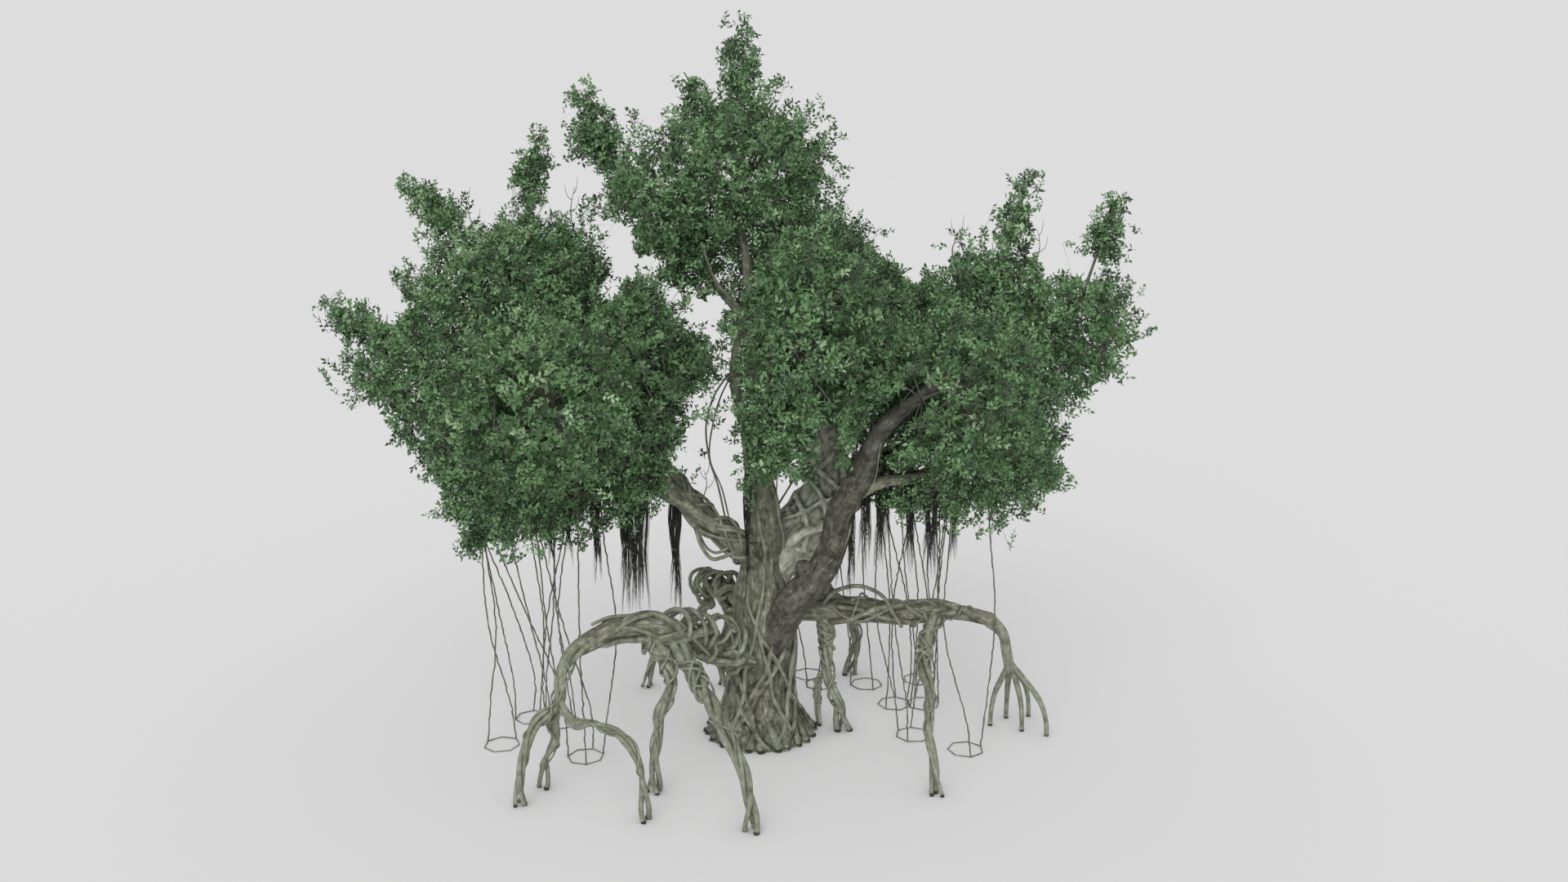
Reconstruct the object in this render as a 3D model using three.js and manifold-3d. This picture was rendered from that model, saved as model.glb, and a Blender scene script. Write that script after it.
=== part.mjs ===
// A banyan tree: a fluted trunk with a root flare, three main boughs, four low limbs on prop roots,
// a crown of separate leafy masses, and thin aerial roots that hang from them to the ground.
// Millimetres, +Z up, the origin on the ground at the middle of the trunk. -Y is the tree's front.
import * as THREE from "three";
import { mergeVertices } from "three/addons/utils/BufferGeometryUtils.js";
import Module from "manifold-3d";

const wasm = await Module();
wasm.setup();

// ---- Driving dimensions ----
const GAP = 0.3; // clearance between neighbouring solids
const FLARE_RADIUS = 1090; // trunk at the ground, to the middle of its root ridges
const WAIST_RADIUS = 610; // trunk where the flare has ended
const WAIST_HEIGHT = 1250;
const FORK_HEIGHT = 3500; // where the main boughs have left the trunk
const FORK_LEAN = 40; // how far the trunk has leaned to +X by then
const LEADER_FOOT = 3300; // the slimmer stem above the fork starts inside the trunk
const LEADER_RADII = [400, 350, 240, 120, 105, 95, 85, 70]; // at even shares of its length
const LEADER_TIP_HEIGHT = 10300;
const ROOT_RIDGES = 14; // toes round the foot of the trunk
const RIDGE_SIDES = 4; // flats on each of them
const RIDGE_DEPTH = 0.13; // share of the radius
const STRAND_RADIUS = 70; // roots that have grown down over the trunk
const BLADE_LENGTH = 820; // a blade stands for a spray of leaves
const BLADE_WIDTH = 400;
const BLADE_THICKNESS = 36;
const BLADES_ON_HEART = 10; // places tried round each mass
const TWIGS = 5; // twigs tried round each mass, with three blades apiece
const TWIG_START = 0.3; // shares of the mass's reach between which they run
const TWIG_END = 0.84;
const TWIG_RADIUS = 36;
const HEART_SHARE = 0.8; // how much of its reach a mass's dense heart fills
const OUTLINE_SHARE = 1.08; // where the tips of a mass's blades must end
const SPACE_MARGIN = 0.03; // empty share of a mass's reach that is kept to its neighbours
const ROOT_RADIUS = 21; // a hanging aerial root
const COIL_RADIUS = 350; // the loop in which the tips of aerial roots lie on the ground
const COIL_SIDES = 7;

const BARK = { color: 0x7d7d68, roughness: 0.9, metalness: 0 };
const OLD_BARK = { color: 0x6f675b, roughness: 0.9, metalness: 0 };
const LEAF = { color: 0x2f5a35, roughness: 0.6, metalness: 0 };
const DARK_ROOT = { color: 0x2b2c2a, roughness: 0.9, metalness: 0 };

const UP = new THREE.Vector3(0, 0, 1);
const point = ([x, y, z]) => new THREE.Vector3(x, y, z);

// The same seed always gives the same run of numbers from 0 to 1.
function seeded(seed) {
  let state = seed >>> 0;
  return () => {
    state = (state + 0x6d2b79f5) >>> 0;
    let t = state;
    t = Math.imul(t ^ (t >>> 15), t | 1);
    t ^= t + Math.imul(t ^ (t >>> 7), t | 61);
    return ((t ^ (t >>> 14)) >>> 0) / 4294967296;
  };
}

// ---- Solids from three.js geometries ----
function solidFrom(geometry) {
  const bare = geometry.index ? geometry.toNonIndexed() : geometry.clone();
  const shape = new THREE.BufferGeometry();
  shape.setAttribute("position", bare.getAttribute("position"));
  const merged = mergeVertices(shape, 1e-3);
  return new wasm.Manifold(
    new wasm.Mesh({
      numProp: 3,
      vertProperties: merged.attributes.position.array,
      triVerts: new Uint32Array(merged.index.array),
    }),
  );
}

function geometryFrom(solid) {
  const mesh = solid.getMesh();
  const geometry = new THREE.BufferGeometry();
  const positions = new Float32Array(mesh.numVert * 3);
  for (let i = 0; i < mesh.numVert; i++) {
    positions.set(mesh.vertProperties.subarray(i * mesh.numProp, i * mesh.numProp + 3), i * 3);
  }
  geometry.setAttribute("position", new THREE.BufferAttribute(positions, 3));
  geometry.setIndex(new THREE.BufferAttribute(mesh.triVerts.slice(), 1));
  geometry.computeVertexNormals();
  return geometry;
}

const largest = (solid) => solid.decompose().sort((a, b) => b.volume() - a.volume())[0];
const joined = (solids) => wasm.Manifold.union(solids);

// A closed cylinder whose rings are carried along a curve. radius(u, angle) gives its section, and
// overhang carries both ends on past the curve.
function sweep(curve, radius, sides, steps, overhang = 0) {
  const geometry = new THREE.CylinderGeometry(1, 1, 1, sides, steps);
  const frames = curve.computeFrenetFrames(steps, false);
  const places = curve.getSpacedPoints(steps);
  places[0].addScaledVector(frames.tangents[0], -overhang);
  places[steps].addScaledVector(frames.tangents[steps], overhang);
  const position = geometry.attributes.position;
  const at = new THREE.Vector3();
  for (let i = 0; i < position.count; i++) {
    at.fromBufferAttribute(position, i);
    const ring = Math.round((at.y + 0.5) * steps);
    const spread = Math.hypot(at.x, at.z);
    const angle = Math.atan2(at.x, at.z);
    const out = spread < 0.5 ? 0 : radius(ring / steps, angle);
    at.copy(places[ring])
      .addScaledVector(frames.normals[ring], out * Math.cos(angle))
      .addScaledVector(frames.binormals[ring], out * Math.sin(angle));
    position.setXYZ(i, at.x, at.y, at.z);
  }
  return facedOutward(geometry);
}

// Rings carried the other way round leave a solid inside out, so its triangles are turned.
function facedOutward(geometry) {
  const solid = solidFrom(geometry);
  if (solid.volume() > 0) return solid;
  const turned = geometry.toNonIndexed();
  const positions = turned.attributes.position.array;
  for (let i = 0; i < positions.length; i += 9) {
    const second = positions.slice(i + 3, i + 6);
    positions.copyWithin(i + 3, i + 6, i + 9);
    positions.set(second, i + 6);
  }
  return solidFrom(turned);
}

// ---- Wood: each piece is kept with its curve, so that later ones can spring from it or stay clear ----
const wood = new Map();
const SAMPLES = 24;

function keepWood(name, solid, grown, curve, radiusAt) {
  const samples = [];
  for (let i = 0; i <= SAMPLES; i++) {
    samples.push({ place: curve.getPointAt(i / SAMPLES), radius: radiusAt(i / SAMPLES) });
  }
  wood.set(name, { solid, grown, curve, samples });
}

// from is a point, or a piece of wood and a share of its length.
const footOf = (from) => (typeof from[0] === "string" ? wood.get(from[0]).curve.getPoint(from[1]) : point(from));

// Radii are given evenly along a limb and run straight from one to the next.
function taperOf(radii) {
  return (u) => {
    const place = THREE.MathUtils.clamp(u, 0, 1) * (radii.length - 1);
    const i = Math.min(Math.floor(place), radii.length - 2);
    return THREE.MathUtils.lerp(radii[i], radii[i + 1], place - i);
  };
}

// A tapering limb through its points, cut clear of the wood that it springs from and passes.
function limb({ name, from, through, radii, lumps = 0, sides = 7, steps = 9, passes = [] }) {
  const curve = new THREE.CatmullRomCurve3([footOf(from), ...through.map(point)]);
  const radiusAt = taperOf(radii);
  const section = (extra) => (u, angle) =>
    radiusAt(u) * (1 + lumps * Math.sin(3 * angle + 9 * u) * Math.sin(17 * u)) + extra;
  const hosts = typeof from[0] === "string" ? [from[0], ...passes] : passes;
  let solid = sweep(curve, section(0), sides, steps);
  for (const other of hosts) solid = solid.subtract(wood.get(other).grown);
  keepWood(name, largest(solid), sweep(curve, section(GAP), sides, steps, GAP), curve, radiusAt);
}

// ---- Trunk ----
const LEADER_LINE = [
  [40, 0, LEADER_FOOT],
  [75, 0, 4700],
  [-150, 0, 6000],
  [-480, 0, 7150],
  [-430, 0, 7800],
  [-200, 0, 8500],
  [-250, 0, 9500],
  [-380, 0, LEADER_TIP_HEIGHT],
];

// Heights of the lower trunk's rings, and how far it has closed in on the leader at each.
const TRUNK_RINGS = [
  [0, 1],
  [220, 1],
  [600, 1],
  [1150, 1],
  [2000, 1],
  [2900, 0.95],
  [3500, 0.76],
  [4150, 0.53],
];

function trunkRadius(z) {
  const fall = Math.max(0, 1 - z / WAIST_HEIGHT);
  const shoulder = 40 * Math.sin((Math.PI * Math.min(z, FORK_HEIGHT)) / FORK_HEIGHT);
  return WAIST_RADIUS + (FLARE_RADIUS - WAIST_RADIUS) * fall * fall + shoulder;
}

function ridge(z, angle) {
  const fade = Math.max(0.25, 1 - z / 1500);
  const wander = 0.35 * Math.sin(z / 520) + 0.2 * Math.sin(3 * angle);
  return RIDGE_DEPTH * fade * (Math.abs(Math.cos((ROOT_RIDGES / 2) * angle + wander)) - 0.5);
}

function lowerTrunk(extra) {
  const bands = TRUNK_RINGS.length - 1;
  const geometry = new THREE.CylinderGeometry(1, 1, 1, ROOT_RIDGES * RIDGE_SIDES, bands);
  const position = geometry.attributes.position;
  for (let i = 0; i < position.count; i++) {
    const [z, closing] = TRUNK_RINGS[Math.round((position.getY(i) + 0.5) * bands)];
    const angle = Math.atan2(position.getZ(i), position.getX(i));
    const onRim = Math.hypot(position.getX(i), position.getZ(i)) > 0.5;
    const out = onRim ? trunkRadius(z) * closing * (1 + ridge(z, angle)) + extra : 0;
    const lean = FORK_LEAN * (z / FORK_HEIGHT);
    position.setXYZ(i, lean + out * Math.cos(angle), -out * Math.sin(angle), z > 0 ? z + extra : 0);
  }
  return facedOutward(geometry);
}

// A root that has grown down over the trunk, from one bearing and height to another.
function strand([fromBearing, fromHeight, toBearing, toHeight], extra) {
  const places = [];
  for (let i = 0; i <= 6; i++) {
    const u = i / 6;
    const z = fromHeight + (toHeight - fromHeight) * u;
    const bearing = THREE.MathUtils.degToRad(fromBearing + (toBearing - fromBearing) * u);
    const out = trunkRadius(z) + STRAND_RADIUS * 0.25;
    const lean = FORK_LEAN * (z / FORK_HEIGHT);
    places.push(new THREE.Vector3(lean + out * Math.cos(bearing), out * Math.sin(bearing), z));
  }
  return sweep(new THREE.CatmullRomCurve3(places), () => STRAND_RADIUS + extra, 4, 5, extra);
}

const STRANDS = [
  [-135, 2900, -75, 300],
  [-55, 2900, -115, 300],
  [40, 2900, 110, 300],
];

function trunk(extra) {
  const leader = new THREE.CatmullRomCurve3(LEADER_LINE.map(point));
  const radiusAt = taperOf(LEADER_RADII);
  const upper = sweep(leader, (u) => radiusAt(u) + extra, 7, 11, extra);
  const strands = STRANDS.map((s) => strand(s, extra));
  return { solid: joined([lowerTrunk(extra), upper, ...strands]), leader, radiusAt };
}

function keepTrunk() {
  const { solid, leader, radiusAt } = trunk(0);
  keepWood("trunk", solid, trunk(GAP).solid, leader, radiusAt);
}
keepTrunk();

// ---- Main boughs ----
const BOUGHS = [
  {
    name: "bough_left",
    from: [-20, -50, 3500],
    through: [
      [-410, -200, 4000],
      [-960, -300, 4470],
      [-1650, -480, 5290],
      [-2900, -500, 6550],
      [-4300, 0, 7850],
    ],
    radii: [340, 230, 210, 190, 150, 110],
  },
  {
    name: "bough_right_rear",
    from: [150, 100, 3400],
    through: [
      [500, 500, 3750],
      [1030, 900, 4150],
      [1310, 1200, 4620],
      [1340, 1400, 5200],
      [1350, 1450, 6100],
      [2050, 1000, 7650],
    ],
    radii: [470, 540, 560, 310, 200, 160, 120],
    lumps: 0.06,
  },
  {
    name: "bough_right_front",
    from: [180, -200, 1950],
    through: [
      [660, -650, 3000],
      [1140, -920, 3620],
      [1410, -1100, 4280],
      [1510, -1250, 4950],
      [1830, -1450, 5520],
      [2230, -1800, 6600],
      [3010, -2250, 7420],
    ],
    radii: [390, 330, 305, 285, 260, 220, 165, 95],
  },
];
BOUGHS.forEach((b) => limb({ sides: 7, steps: 9, passes: ["trunk"], ...b }));

// ---- Limbs that part from them inside the crown ----
const LIMBS = [
  {
    name: "limb_left_lower",
    from: ["bough_left", 0.5],
    through: [[-2500, -900, 5450], [-3000, -1150, 5200], [-3600, -1200, 5350]],
    radii: [190, 85],
  },
  {
    name: "limb_left_front",
    from: ["bough_left", 0.42],
    through: [[-1950, -1000, 5500], [-2800, -1900, 6200], [-3300, -2600, 6900]],
    radii: [190, 85],
    passes: ["limb_left_lower"],
  },
  {
    name: "limb_left_outer",
    from: ["bough_left", 0.78],
    through: [[-4000, -1000, 6800], [-4900, -900, 6900], [-5850, -450, 7250]],
    radii: [130, 70],
  },
  {
    name: "limb_left_inner",
    from: ["bough_left", 0.3],
    through: [[-1450, -900, 5000], [-1650, -1150, 5300], [-1800, -1200, 5850]],
    radii: [150, 80],
    passes: ["limb_left_front"],
  },
  {
    name: "limb_left_back",
    from: ["bough_left", 0.36],
    through: [[-1900, 900, 5000], [-3000, 2300, 5500], [-3700, 2700, 6500]],
    radii: [200, 90],
  },
  {
    name: "limb_back",
    from: ["bough_right_rear", 0.3],
    through: [[1300, 1900, 4500], [900, 3300, 5000], [900, 3900, 6150]],
    radii: [230, 90],
  },
  {
    name: "limb_right_back",
    from: ["bough_right_rear", 0.5],
    through: [[2100, 1900, 5200], [3200, 2600, 5400], [3950, 2850, 6300]],
    radii: [200, 85],
  },
  {
    name: "limb_right_upper",
    from: ["bough_right_rear", 0.78],
    through: [[2300, 1500, 6400], [3000, 600, 6900], [3550, 400, 7700]],
    radii: [150, 75],
  },
  {
    name: "limb_right_lower",
    from: ["bough_right_front", 0.63],
    through: [[2300, -1450, 5550], [2750, -1200, 5550], [3300, -1000, 5700]],
    radii: [120, 70],
  },
  {
    name: "limb_right_outer",
    from: ["limb_right_upper", 0.6],
    through: [[3900, 800, 6900], [4900, 800, 7000], [5650, 450, 7800]],
    radii: [80, 60],
  },
  {
    name: "limb_top_left",
    from: ["trunk", 0.68],
    through: [[-650, 200, 8800], [-1050, 300, 9250], [-1450, 350, 9800]],
    radii: [85, 60],
  },
  {
    name: "limb_top_back",
    from: ["trunk", 0.42],
    through: [[-300, 900, 7200], [400, 1900, 7500], [600, 2250, 8250]],
    radii: [120, 70],
  },
  {
    name: "limb_centre_front",
    from: ["trunk", 0.36],
    through: [[-250, -700, 6550], [300, -1100, 6600], [550, -1350, 7050]],
    radii: [130, 75],
  },
];
LIMBS.forEach((l) => limb({ sides: 5, steps: 4, ...l }));

// ---- Low limbs, and the prop roots that they stand on ----
const LOW_LIMBS = [
  {
    name: "low_limb_left",
    from: [-100, -300, 1600],
    through: [
      [-810, -800, 2070],
      [-1400, -1300, 2480],
      [-2040, -1800, 2860],
      [-2680, -2150, 2940],
      [-3120, -2450, 2790],
    ],
    radii: [300, 270, 235, 200],
    lumps: 0.08,
    passes: ["trunk"],
  },
  {
    name: "low_limb_right",
    from: [470, 100, 2500],
    through: [
      [1120, 100, 2540],
      [2100, 0, 2560],
      [2900, -150, 2570],
      [3540, -250, 2640],
      [4180, -300, 2570],
      [4550, -300, 2480],
    ],
    radii: [270, 220, 190, 135],
    lumps: 0.05,
    passes: ["trunk", "bough_right_front"],
  },
  {
    name: "low_limb_rear_left",
    from: [-280, 300, 2400],
    through: [
      [-630, 900, 2600],
      [-940, 1400, 2660],
      [-1170, 1700, 2400],
      [-1100, 1800, 2050],
    ],
    radii: [270, 250, 220, 190],
    lumps: 0.1,
    passes: ["trunk"],
  },
  {
    name: "low_limb_rear_right",
    from: [150, 200, 2150],
    through: [[700, 1100, 2500], [1300, 1800, 2350], [1620, 2200, 1880]],
    radii: [240, 160],
    lumps: 0.06,
    passes: ["trunk"],
  },
];
LOW_LIMBS.forEach((l) => limb({ sides: 7, steps: 7, ...l }));

const PROPS = [
  {
    name: "prop_left_outer",
    from: ["low_limb_left", 0.985],
    through: [
      [-3400, -2700, 2590],
      [-3550, -2870, 2200],
      [-3590, -2960, 1850],
      [-4000, -3100, 1450],
      [-4210, -3150, 860],
      [-4300, -3200, 0],
    ],
    radii: [180, 130, 110, 90, 80],
  },
  {
    name: "prop_left_rear",
    from: ["prop_left_outer", 0.48],
    through: [
      [-3710, -2800, 1480],
      [-3700, -2700, 1070],
      [-3910, -2600, 590],
      [-3980, -2550, 0],
    ],
    radii: [110, 85],
  },
  {
    name: "prop_left_inner",
    from: ["prop_left_outer", 0.46],
    through: [
      [-3260, -3200, 1560],
      [-2870, -3400, 1640],
      [-2430, -3600, 1570],
      [-2130, -3700, 1200],
      [-2000, -3750, 680],
      [-1970, -3780, 0],
    ],
    radii: [95, 85],
    passes: ["prop_left_rear"],
  },
  {
    name: "prop_left_middle",
    from: ["low_limb_left", 0.62],
    through: [
      [-1620, -2100, 1900],
      [-1780, -2450, 1450],
      [-1860, -2630, 900],
      [-1920, -2720, 0],
    ],
    radii: [150, 95],
  },
  {
    name: "prop_left_front",
    from: ["low_limb_left", 0.48],
    through: [
      [-1110, -2300, 2000],
      [-810, -2900, 1760],
      [-600, -3400, 1550],
      [-340, -3800, 1250],
      [-180, -4050, 830],
      [-80, -4150, 0],
    ],
    radii: [190, 150, 105],
    passes: ["prop_left_middle"],
  },
  {
    name: "prop_right_middle",
    from: ["low_limb_right", 0.66],
    through: [
      [3170, -900, 1950],
      [3230, -1700, 1500],
      [3150, -2400, 1050],
      [3270, -2850, 0],
    ],
    radii: [160, 110, 85],
  },
  {
    name: "prop_right_inner",
    from: ["low_limb_right", 0.2],
    through: [
      [1330, 120, 1850],
      [1370, 80, 1100],
      [1600, 20, 450],
      [1670, 0, 0],
    ],
    radii: [160, 130, 120],
    passes: ["bough_right_front", "trunk"],
  },
  {
    name: "prop_right_near",
    from: ["prop_right_inner", 0.5],
    through: [
      [1200, 260, 1050],
      [1150, 260, 500],
      [1190, 240, 0],
    ],
    radii: [75, 62],
    passes: ["trunk"],
  },
  {
    name: "prop_rear_left_outer",
    from: ["low_limb_rear_left", 0.9],
    through: [
      [-1350, 1850, 1830],
      [-1690, 1950, 1530],
      [-2170, 2100, 1050],
      [-2460, 2200, 500],
      [-2560, 2240, 0],
    ],
    radii: [130, 80],
  },
  {
    name: "prop_rear_left_inner",
    from: ["low_limb_rear_left", 0.5],
    through: [
      [-680, 1700, 1700],
      [-800, 2200, 900],
      [-840, 2340, 0],
    ],
    radii: [130, 90],
    passes: ["trunk"],
  },
  {
    name: "prop_rear_right_outer",
    from: ["low_limb_rear_right", 0.96],
    through: [
      [1950, 2500, 1500],
      [2080, 2850, 800],
      [1940, 2950, 0],
    ],
    radii: [150, 105],
  },
];

// A prop root is carried on below the ground, and cut flat there.
const BELOW_GROUND = 140;
const cutAtGround = (solid) => largest(solid.trimByPlane([0, 0, 1], 0));

function prop(p) {
  const [x, y, z] = p.through.at(-1);
  limb({ sides: 5, steps: 7, lumps: 0.1, ...p, through: [...p.through, [x, y, z - BELOW_GROUND]] });
  const made = wood.get(p.name);
  made.solid = cutAtGround(made.solid);
}
PROPS.forEach(prop);

// The far end of the right-hand limb bends down and parts into toes.
const CLAW_FORK = [5030, 0, 1250];
const CLAW_RADII = [128, 92];
const TOE_RADII = [58, 46];
const CLAW_TOES = [
  [4700, 190],
  [5090, 560],
  [5300, -80],
  [5570, 640],
  [5760, -310],
];

function claw(extra) {
  const line = [[4820, -250, 2170], [4930, -150, 1750], CLAW_FORK];
  const stem = new THREE.CatmullRomCurve3([footOf(["low_limb_right", 0.985]), ...line.map(point)]);
  const radiusAt = (u) => CLAW_RADII[0] + (CLAW_RADII[1] - CLAW_RADII[0]) * u;
  const parts = [sweep(stem, (u) => radiusAt(u) + extra, 6, 3, extra)];
  const [fx, fy, fz] = CLAW_FORK;
  for (const [x, y] of CLAW_TOES) {
    const toeLine = [
      [fx, fy, fz + TOE_RADII[0]],
      [fx + (x - fx) * 0.6, fy + (y - fy) * 0.6, fz * 0.72],
      [x, y, fz * 0.6],
      [x, y, -BELOW_GROUND],
    ];
    const toe = new THREE.CubicBezierCurve3(...toeLine.map(point));
    parts.push(sweep(toe, (u) => TOE_RADII[0] + (TOE_RADII[1] - TOE_RADII[0]) * u + extra, 4, 3, extra));
  }
  return { solid: joined(parts).subtract(wood.get("low_limb_right").grown), stem, radiusAt };
}

function keepClaw() {
  const { solid, stem, radiusAt } = claw(0);
  keepWood("prop_right_claw", cutAtGround(solid), claw(GAP).solid, stem, radiusAt);
}
keepClaw();

// ---- Foliage ----
// reach is a mass's half size along X, Y and Z, foot the limb that carries it, and a plume a leafy
// leader that stands out of it, given by its tip and its radius.
const MASSES = [
  {
    name: "foliage_left_outer",
    at: [-6350, -300, 7500],
    reach: [1500, 1500, 1500],
    foot: "limb_left_outer",
    plumes: [[-8400, -200, 8850, 420]],
  },
  {
    name: "foliage_left_upper",
    at: [-4750, 400, 8850],
    reach: [2000, 1800, 1750],
    foot: "bough_left",
    plumes: [
      [-6750, 500, 11050, 420],
      [-4150, 500, 12000, 430],
    ],
  },
  {
    name: "foliage_left_lower",
    at: [-4350, -1200, 5750],
    reach: [1850, 1650, 1450],
    foot: "limb_left_lower",
    plumes: [[-5600, -1300, 4100, 400]],
  },
  {
    name: "foliage_left_front",
    at: [-3750, -3000, 7350],
    reach: [1700, 1500, 1600],
    foot: "limb_left_front",
  },
  {
    name: "foliage_left_inner",
    at: [-2250, -1200, 7250],
    reach: [1300, 1450, 2050],
    foot: "limb_left_inner",
    plumes: [
      [-650, -1100, 7900, 620],
      [-2600, -1300, 4600, 850],
    ],
  },
  {
    name: "foliage_left_back",
    at: [-4000, 3000, 7400],
    reach: [2100, 1900, 1900],
    foot: "limb_left_back",
  },
  {
    name: "foliage_top",
    at: [-300, 200, 11200],
    reach: [1650, 1650, 1450],
    foot: "trunk",
    plumes: [
      [-300, 0, 14000, 500],
      [-1450, 200, 13050, 240],
    ],
  },
  {
    name: "foliage_top_left",
    at: [-1600, 300, 10600],
    reach: [1350, 1450, 1450],
    foot: "limb_top_left",
    plumes: [
      [-3350, 500, 12950, 560],
      [-900, 200, 8750, 650],
    ],
  },
  {
    name: "foliage_top_back",
    at: [900, 2900, 9000],
    reach: [1700, 1750, 1550],
    foot: "limb_top_back",
  },
  {
    name: "foliage_centre_front",
    at: [950, -1900, 8000],
    reach: [1600, 1450, 2400],
    foot: "limb_centre_front",
    plumes: [[-100, -1900, 5500, 640]],
  },
  {
    name: "foliage_right_inner",
    at: [2050, 400, 8100],
    reach: [1500, 1650, 1500],
    foot: "bough_right_rear",
  },
  {
    name: "foliage_right_upper",
    at: [4400, 300, 8300],
    reach: [1650, 1650, 1600],
    foot: "limb_right_upper",
    plumes: [[5150, 400, 11200, 480]],
  },
  {
    name: "foliage_right_outer",
    at: [6000, 300, 8150],
    reach: [1300, 1350, 1400],
    foot: "limb_right_outer",
    plumes: [[6850, 400, 10850, 470]],
  },
  {
    name: "foliage_right_lower",
    at: [3800, -700, 6000],
    reach: [2050, 1550, 1350],
    foot: "limb_right_lower",
    plumes: [[6000, -700, 5350, 420]],
  },
  {
    name: "foliage_right_front",
    at: [3550, -2600, 7450],
    reach: [1450, 1350, 1550],
    foot: "bough_right_front",
  },
  {
    name: "foliage_right_back",
    at: [4400, 3200, 7100],
    reach: [2050, 1900, 1850],
    foot: "limb_right_back",
  },
  {
    name: "foliage_back",
    at: [1300, 4300, 7350],
    reach: [1900, 1800, 1900],
    foot: "limb_back",
  },
];

// A place in a mass's own space: its centre at share 0 and its outline at share 1.
const placeIn = (mass, way, share) =>
  way.clone().multiply(point(mass.reach)).multiplyScalar(share).add(point(mass.at));

const depthIn = (mass, p) => p.clone().sub(point(mass.at)).divide(point(mass.reach)).length();

// How close a point comes to a plume's own axis, as a share of the plume's radius.
function depthInPlume(mass, [x, y, z, radius], p) {
  const axis = new THREE.Line3(point(mass.at), new THREE.Vector3(x, y, z));
  return axis.closestPointToPoint(p, true, new THREE.Vector3()).distanceTo(p) / radius;
}

const depthInAll = (mass, p) =>
  Math.min(depthIn(mass, p), ...(mass.plumes ?? []).map((plume) => depthInPlume(mass, plume, p)));

function keepsToItself(mass, p) {
  const own = depthInAll(mass, p);
  if (own > OUTLINE_SHARE) return false;
  return MASSES.every((other) => other === mass || own + 2 * SPACE_MARGIN < depthInAll(other, p));
}

// Wood and hanging roots are both kept clear of blades and twigs.
const CLEARANCE = 60;
const clearOf = (pieces, p) =>
  pieces.every(({ samples }) => samples.every((s) => s.place.distanceTo(p) > s.radius + CLEARANCE));

// A plume is a slim heart on a twig of its own. These sizes are shares of its radius.
const PLUME_DROP = 2.1; // from its tip to its middle
const PLUME_GIRTH = 0.62;
const PLUME_HALF_LENGTH = 1.25;

function plumeHeart(mass, [x, y, z, radius]) {
  const tip = new THREE.Vector3(x, y, z);
  const way = tip.clone().sub(point(mass.at)).normalize();
  const middle = tip.addScaledVector(way, -radius * PLUME_DROP);
  const geometry = new THREE.IcosahedronGeometry(1, 0);
  geometry.scale(radius * PLUME_GIRTH, radius * PLUME_GIRTH, radius * PLUME_HALF_LENGTH);
  geometry.applyQuaternion(new THREE.Quaternion().setFromUnitVectors(UP, way));
  geometry.translate(middle.x, middle.y, middle.z);
  return { heart: solidFrom(geometry), middle, way };
}

// The lumpy heart of a mass, drawn in wherever a neighbour's space is near, with its plumes' hearts.
function heartOf(mass) {
  const geometry = new THREE.IcosahedronGeometry(1, 1);
  const position = geometry.attributes.position;
  const way = new THREE.Vector3();
  for (let i = 0; i < position.count; i++) {
    way.fromBufferAttribute(position, i).normalize();
    const lump = 0.12 * Math.sin(5 * way.x + mass.at[0]) * Math.sin(4 * way.z + mass.at[2]);
    let share = HEART_SHARE * (1 + lump);
    while (share > 0.2 && !keepsToItself(mass, placeIn(mass, way, share))) share -= 0.02;
    const { x, y, z } = placeIn(mass, way, share);
    position.setXYZ(i, x, y, z);
  }
  return joined([solidFrom(geometry), ...(mass.plumes ?? []).map((plume) => plumeHeart(mass, plume).heart)]);
}

// A solid grown by about the gap, by scaling it from a point inside it.
function grownFrom(solid, centre, size) {
  const { x, y, z } = centre;
  const scale = 1 + (1.5 * GAP) / size;
  return solid.translate([-x, -y, -z]).scale(scale).translate([x, y, z]);
}

// ---- Aerial roots: each bunch hangs from the underside of a mass and ends in a loop on the ground ----
const ROOT_BUNCHES = [
  {
    name: "roots_left_outer",
    under: "foliage_left_lower",
    tops: [[-5200, -1050], [-4850, -700]],
    coil: [-5130, -730],
  },
  {
    name: "roots_left_middle",
    under: "foliage_left_lower",
    tops: [[-4600, -900], [-4250, -700], [-4300, -1200]],
    coil: [-4200, 300],
  },
  {
    name: "roots_left_inner",
    under: "foliage_left_lower",
    tops: [[-3900, -1050], [-3850, -1450]],
    coil: [-3390, -1270],
  },
  {
    name: "roots_right_outer",
    under: "foliage_right_lower",
    tops: [[4500, -1000], [4050, -1100]],
    coil: [4040, -1000],
  },
  {
    name: "roots_right_rear",
    under: "foliage_right_lower",
    tops: [[3500, 0], [3900, -50], [4300, 0]],
    coil: [3430, 1270],
  },
];

const TASSELS = [
  { name: "tassel_left", under: "foliage_left_inner", top: [-2300, -1200, 7250], low: 2900, radius: 230 },
  { name: "tassel_left_inner", under: "limb_left_lower", top: [-1560, -500, 4950], low: 2950, radius: 85 },
  { name: "tassel_right", under: "foliage_right_lower", top: [3250, -1150, 6000], low: 3250, radius: 130 },
];

const hearts = new Map(MASSES.map((mass) => [mass.name, heartOf(mass)]));
const massNamed = (name) => MASSES.find((mass) => mass.name === name);

// What hangs from a limb or a mass is cut off by the underside of the wood and of the mass's heart.
function hungFrom(name, solid) {
  const free = [...wood.values()].reduce((rest, { grown }) => rest.subtract(grown), solid);
  if (wood.has(name)) return largest(free);
  const mass = massNamed(name);
  const size = Math.min(...mass.reach) * HEART_SHARE;
  return largest(free.subtract(grownFrom(hearts.get(name), point(mass.at), size)));
}

const hangings = new Map();

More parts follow.
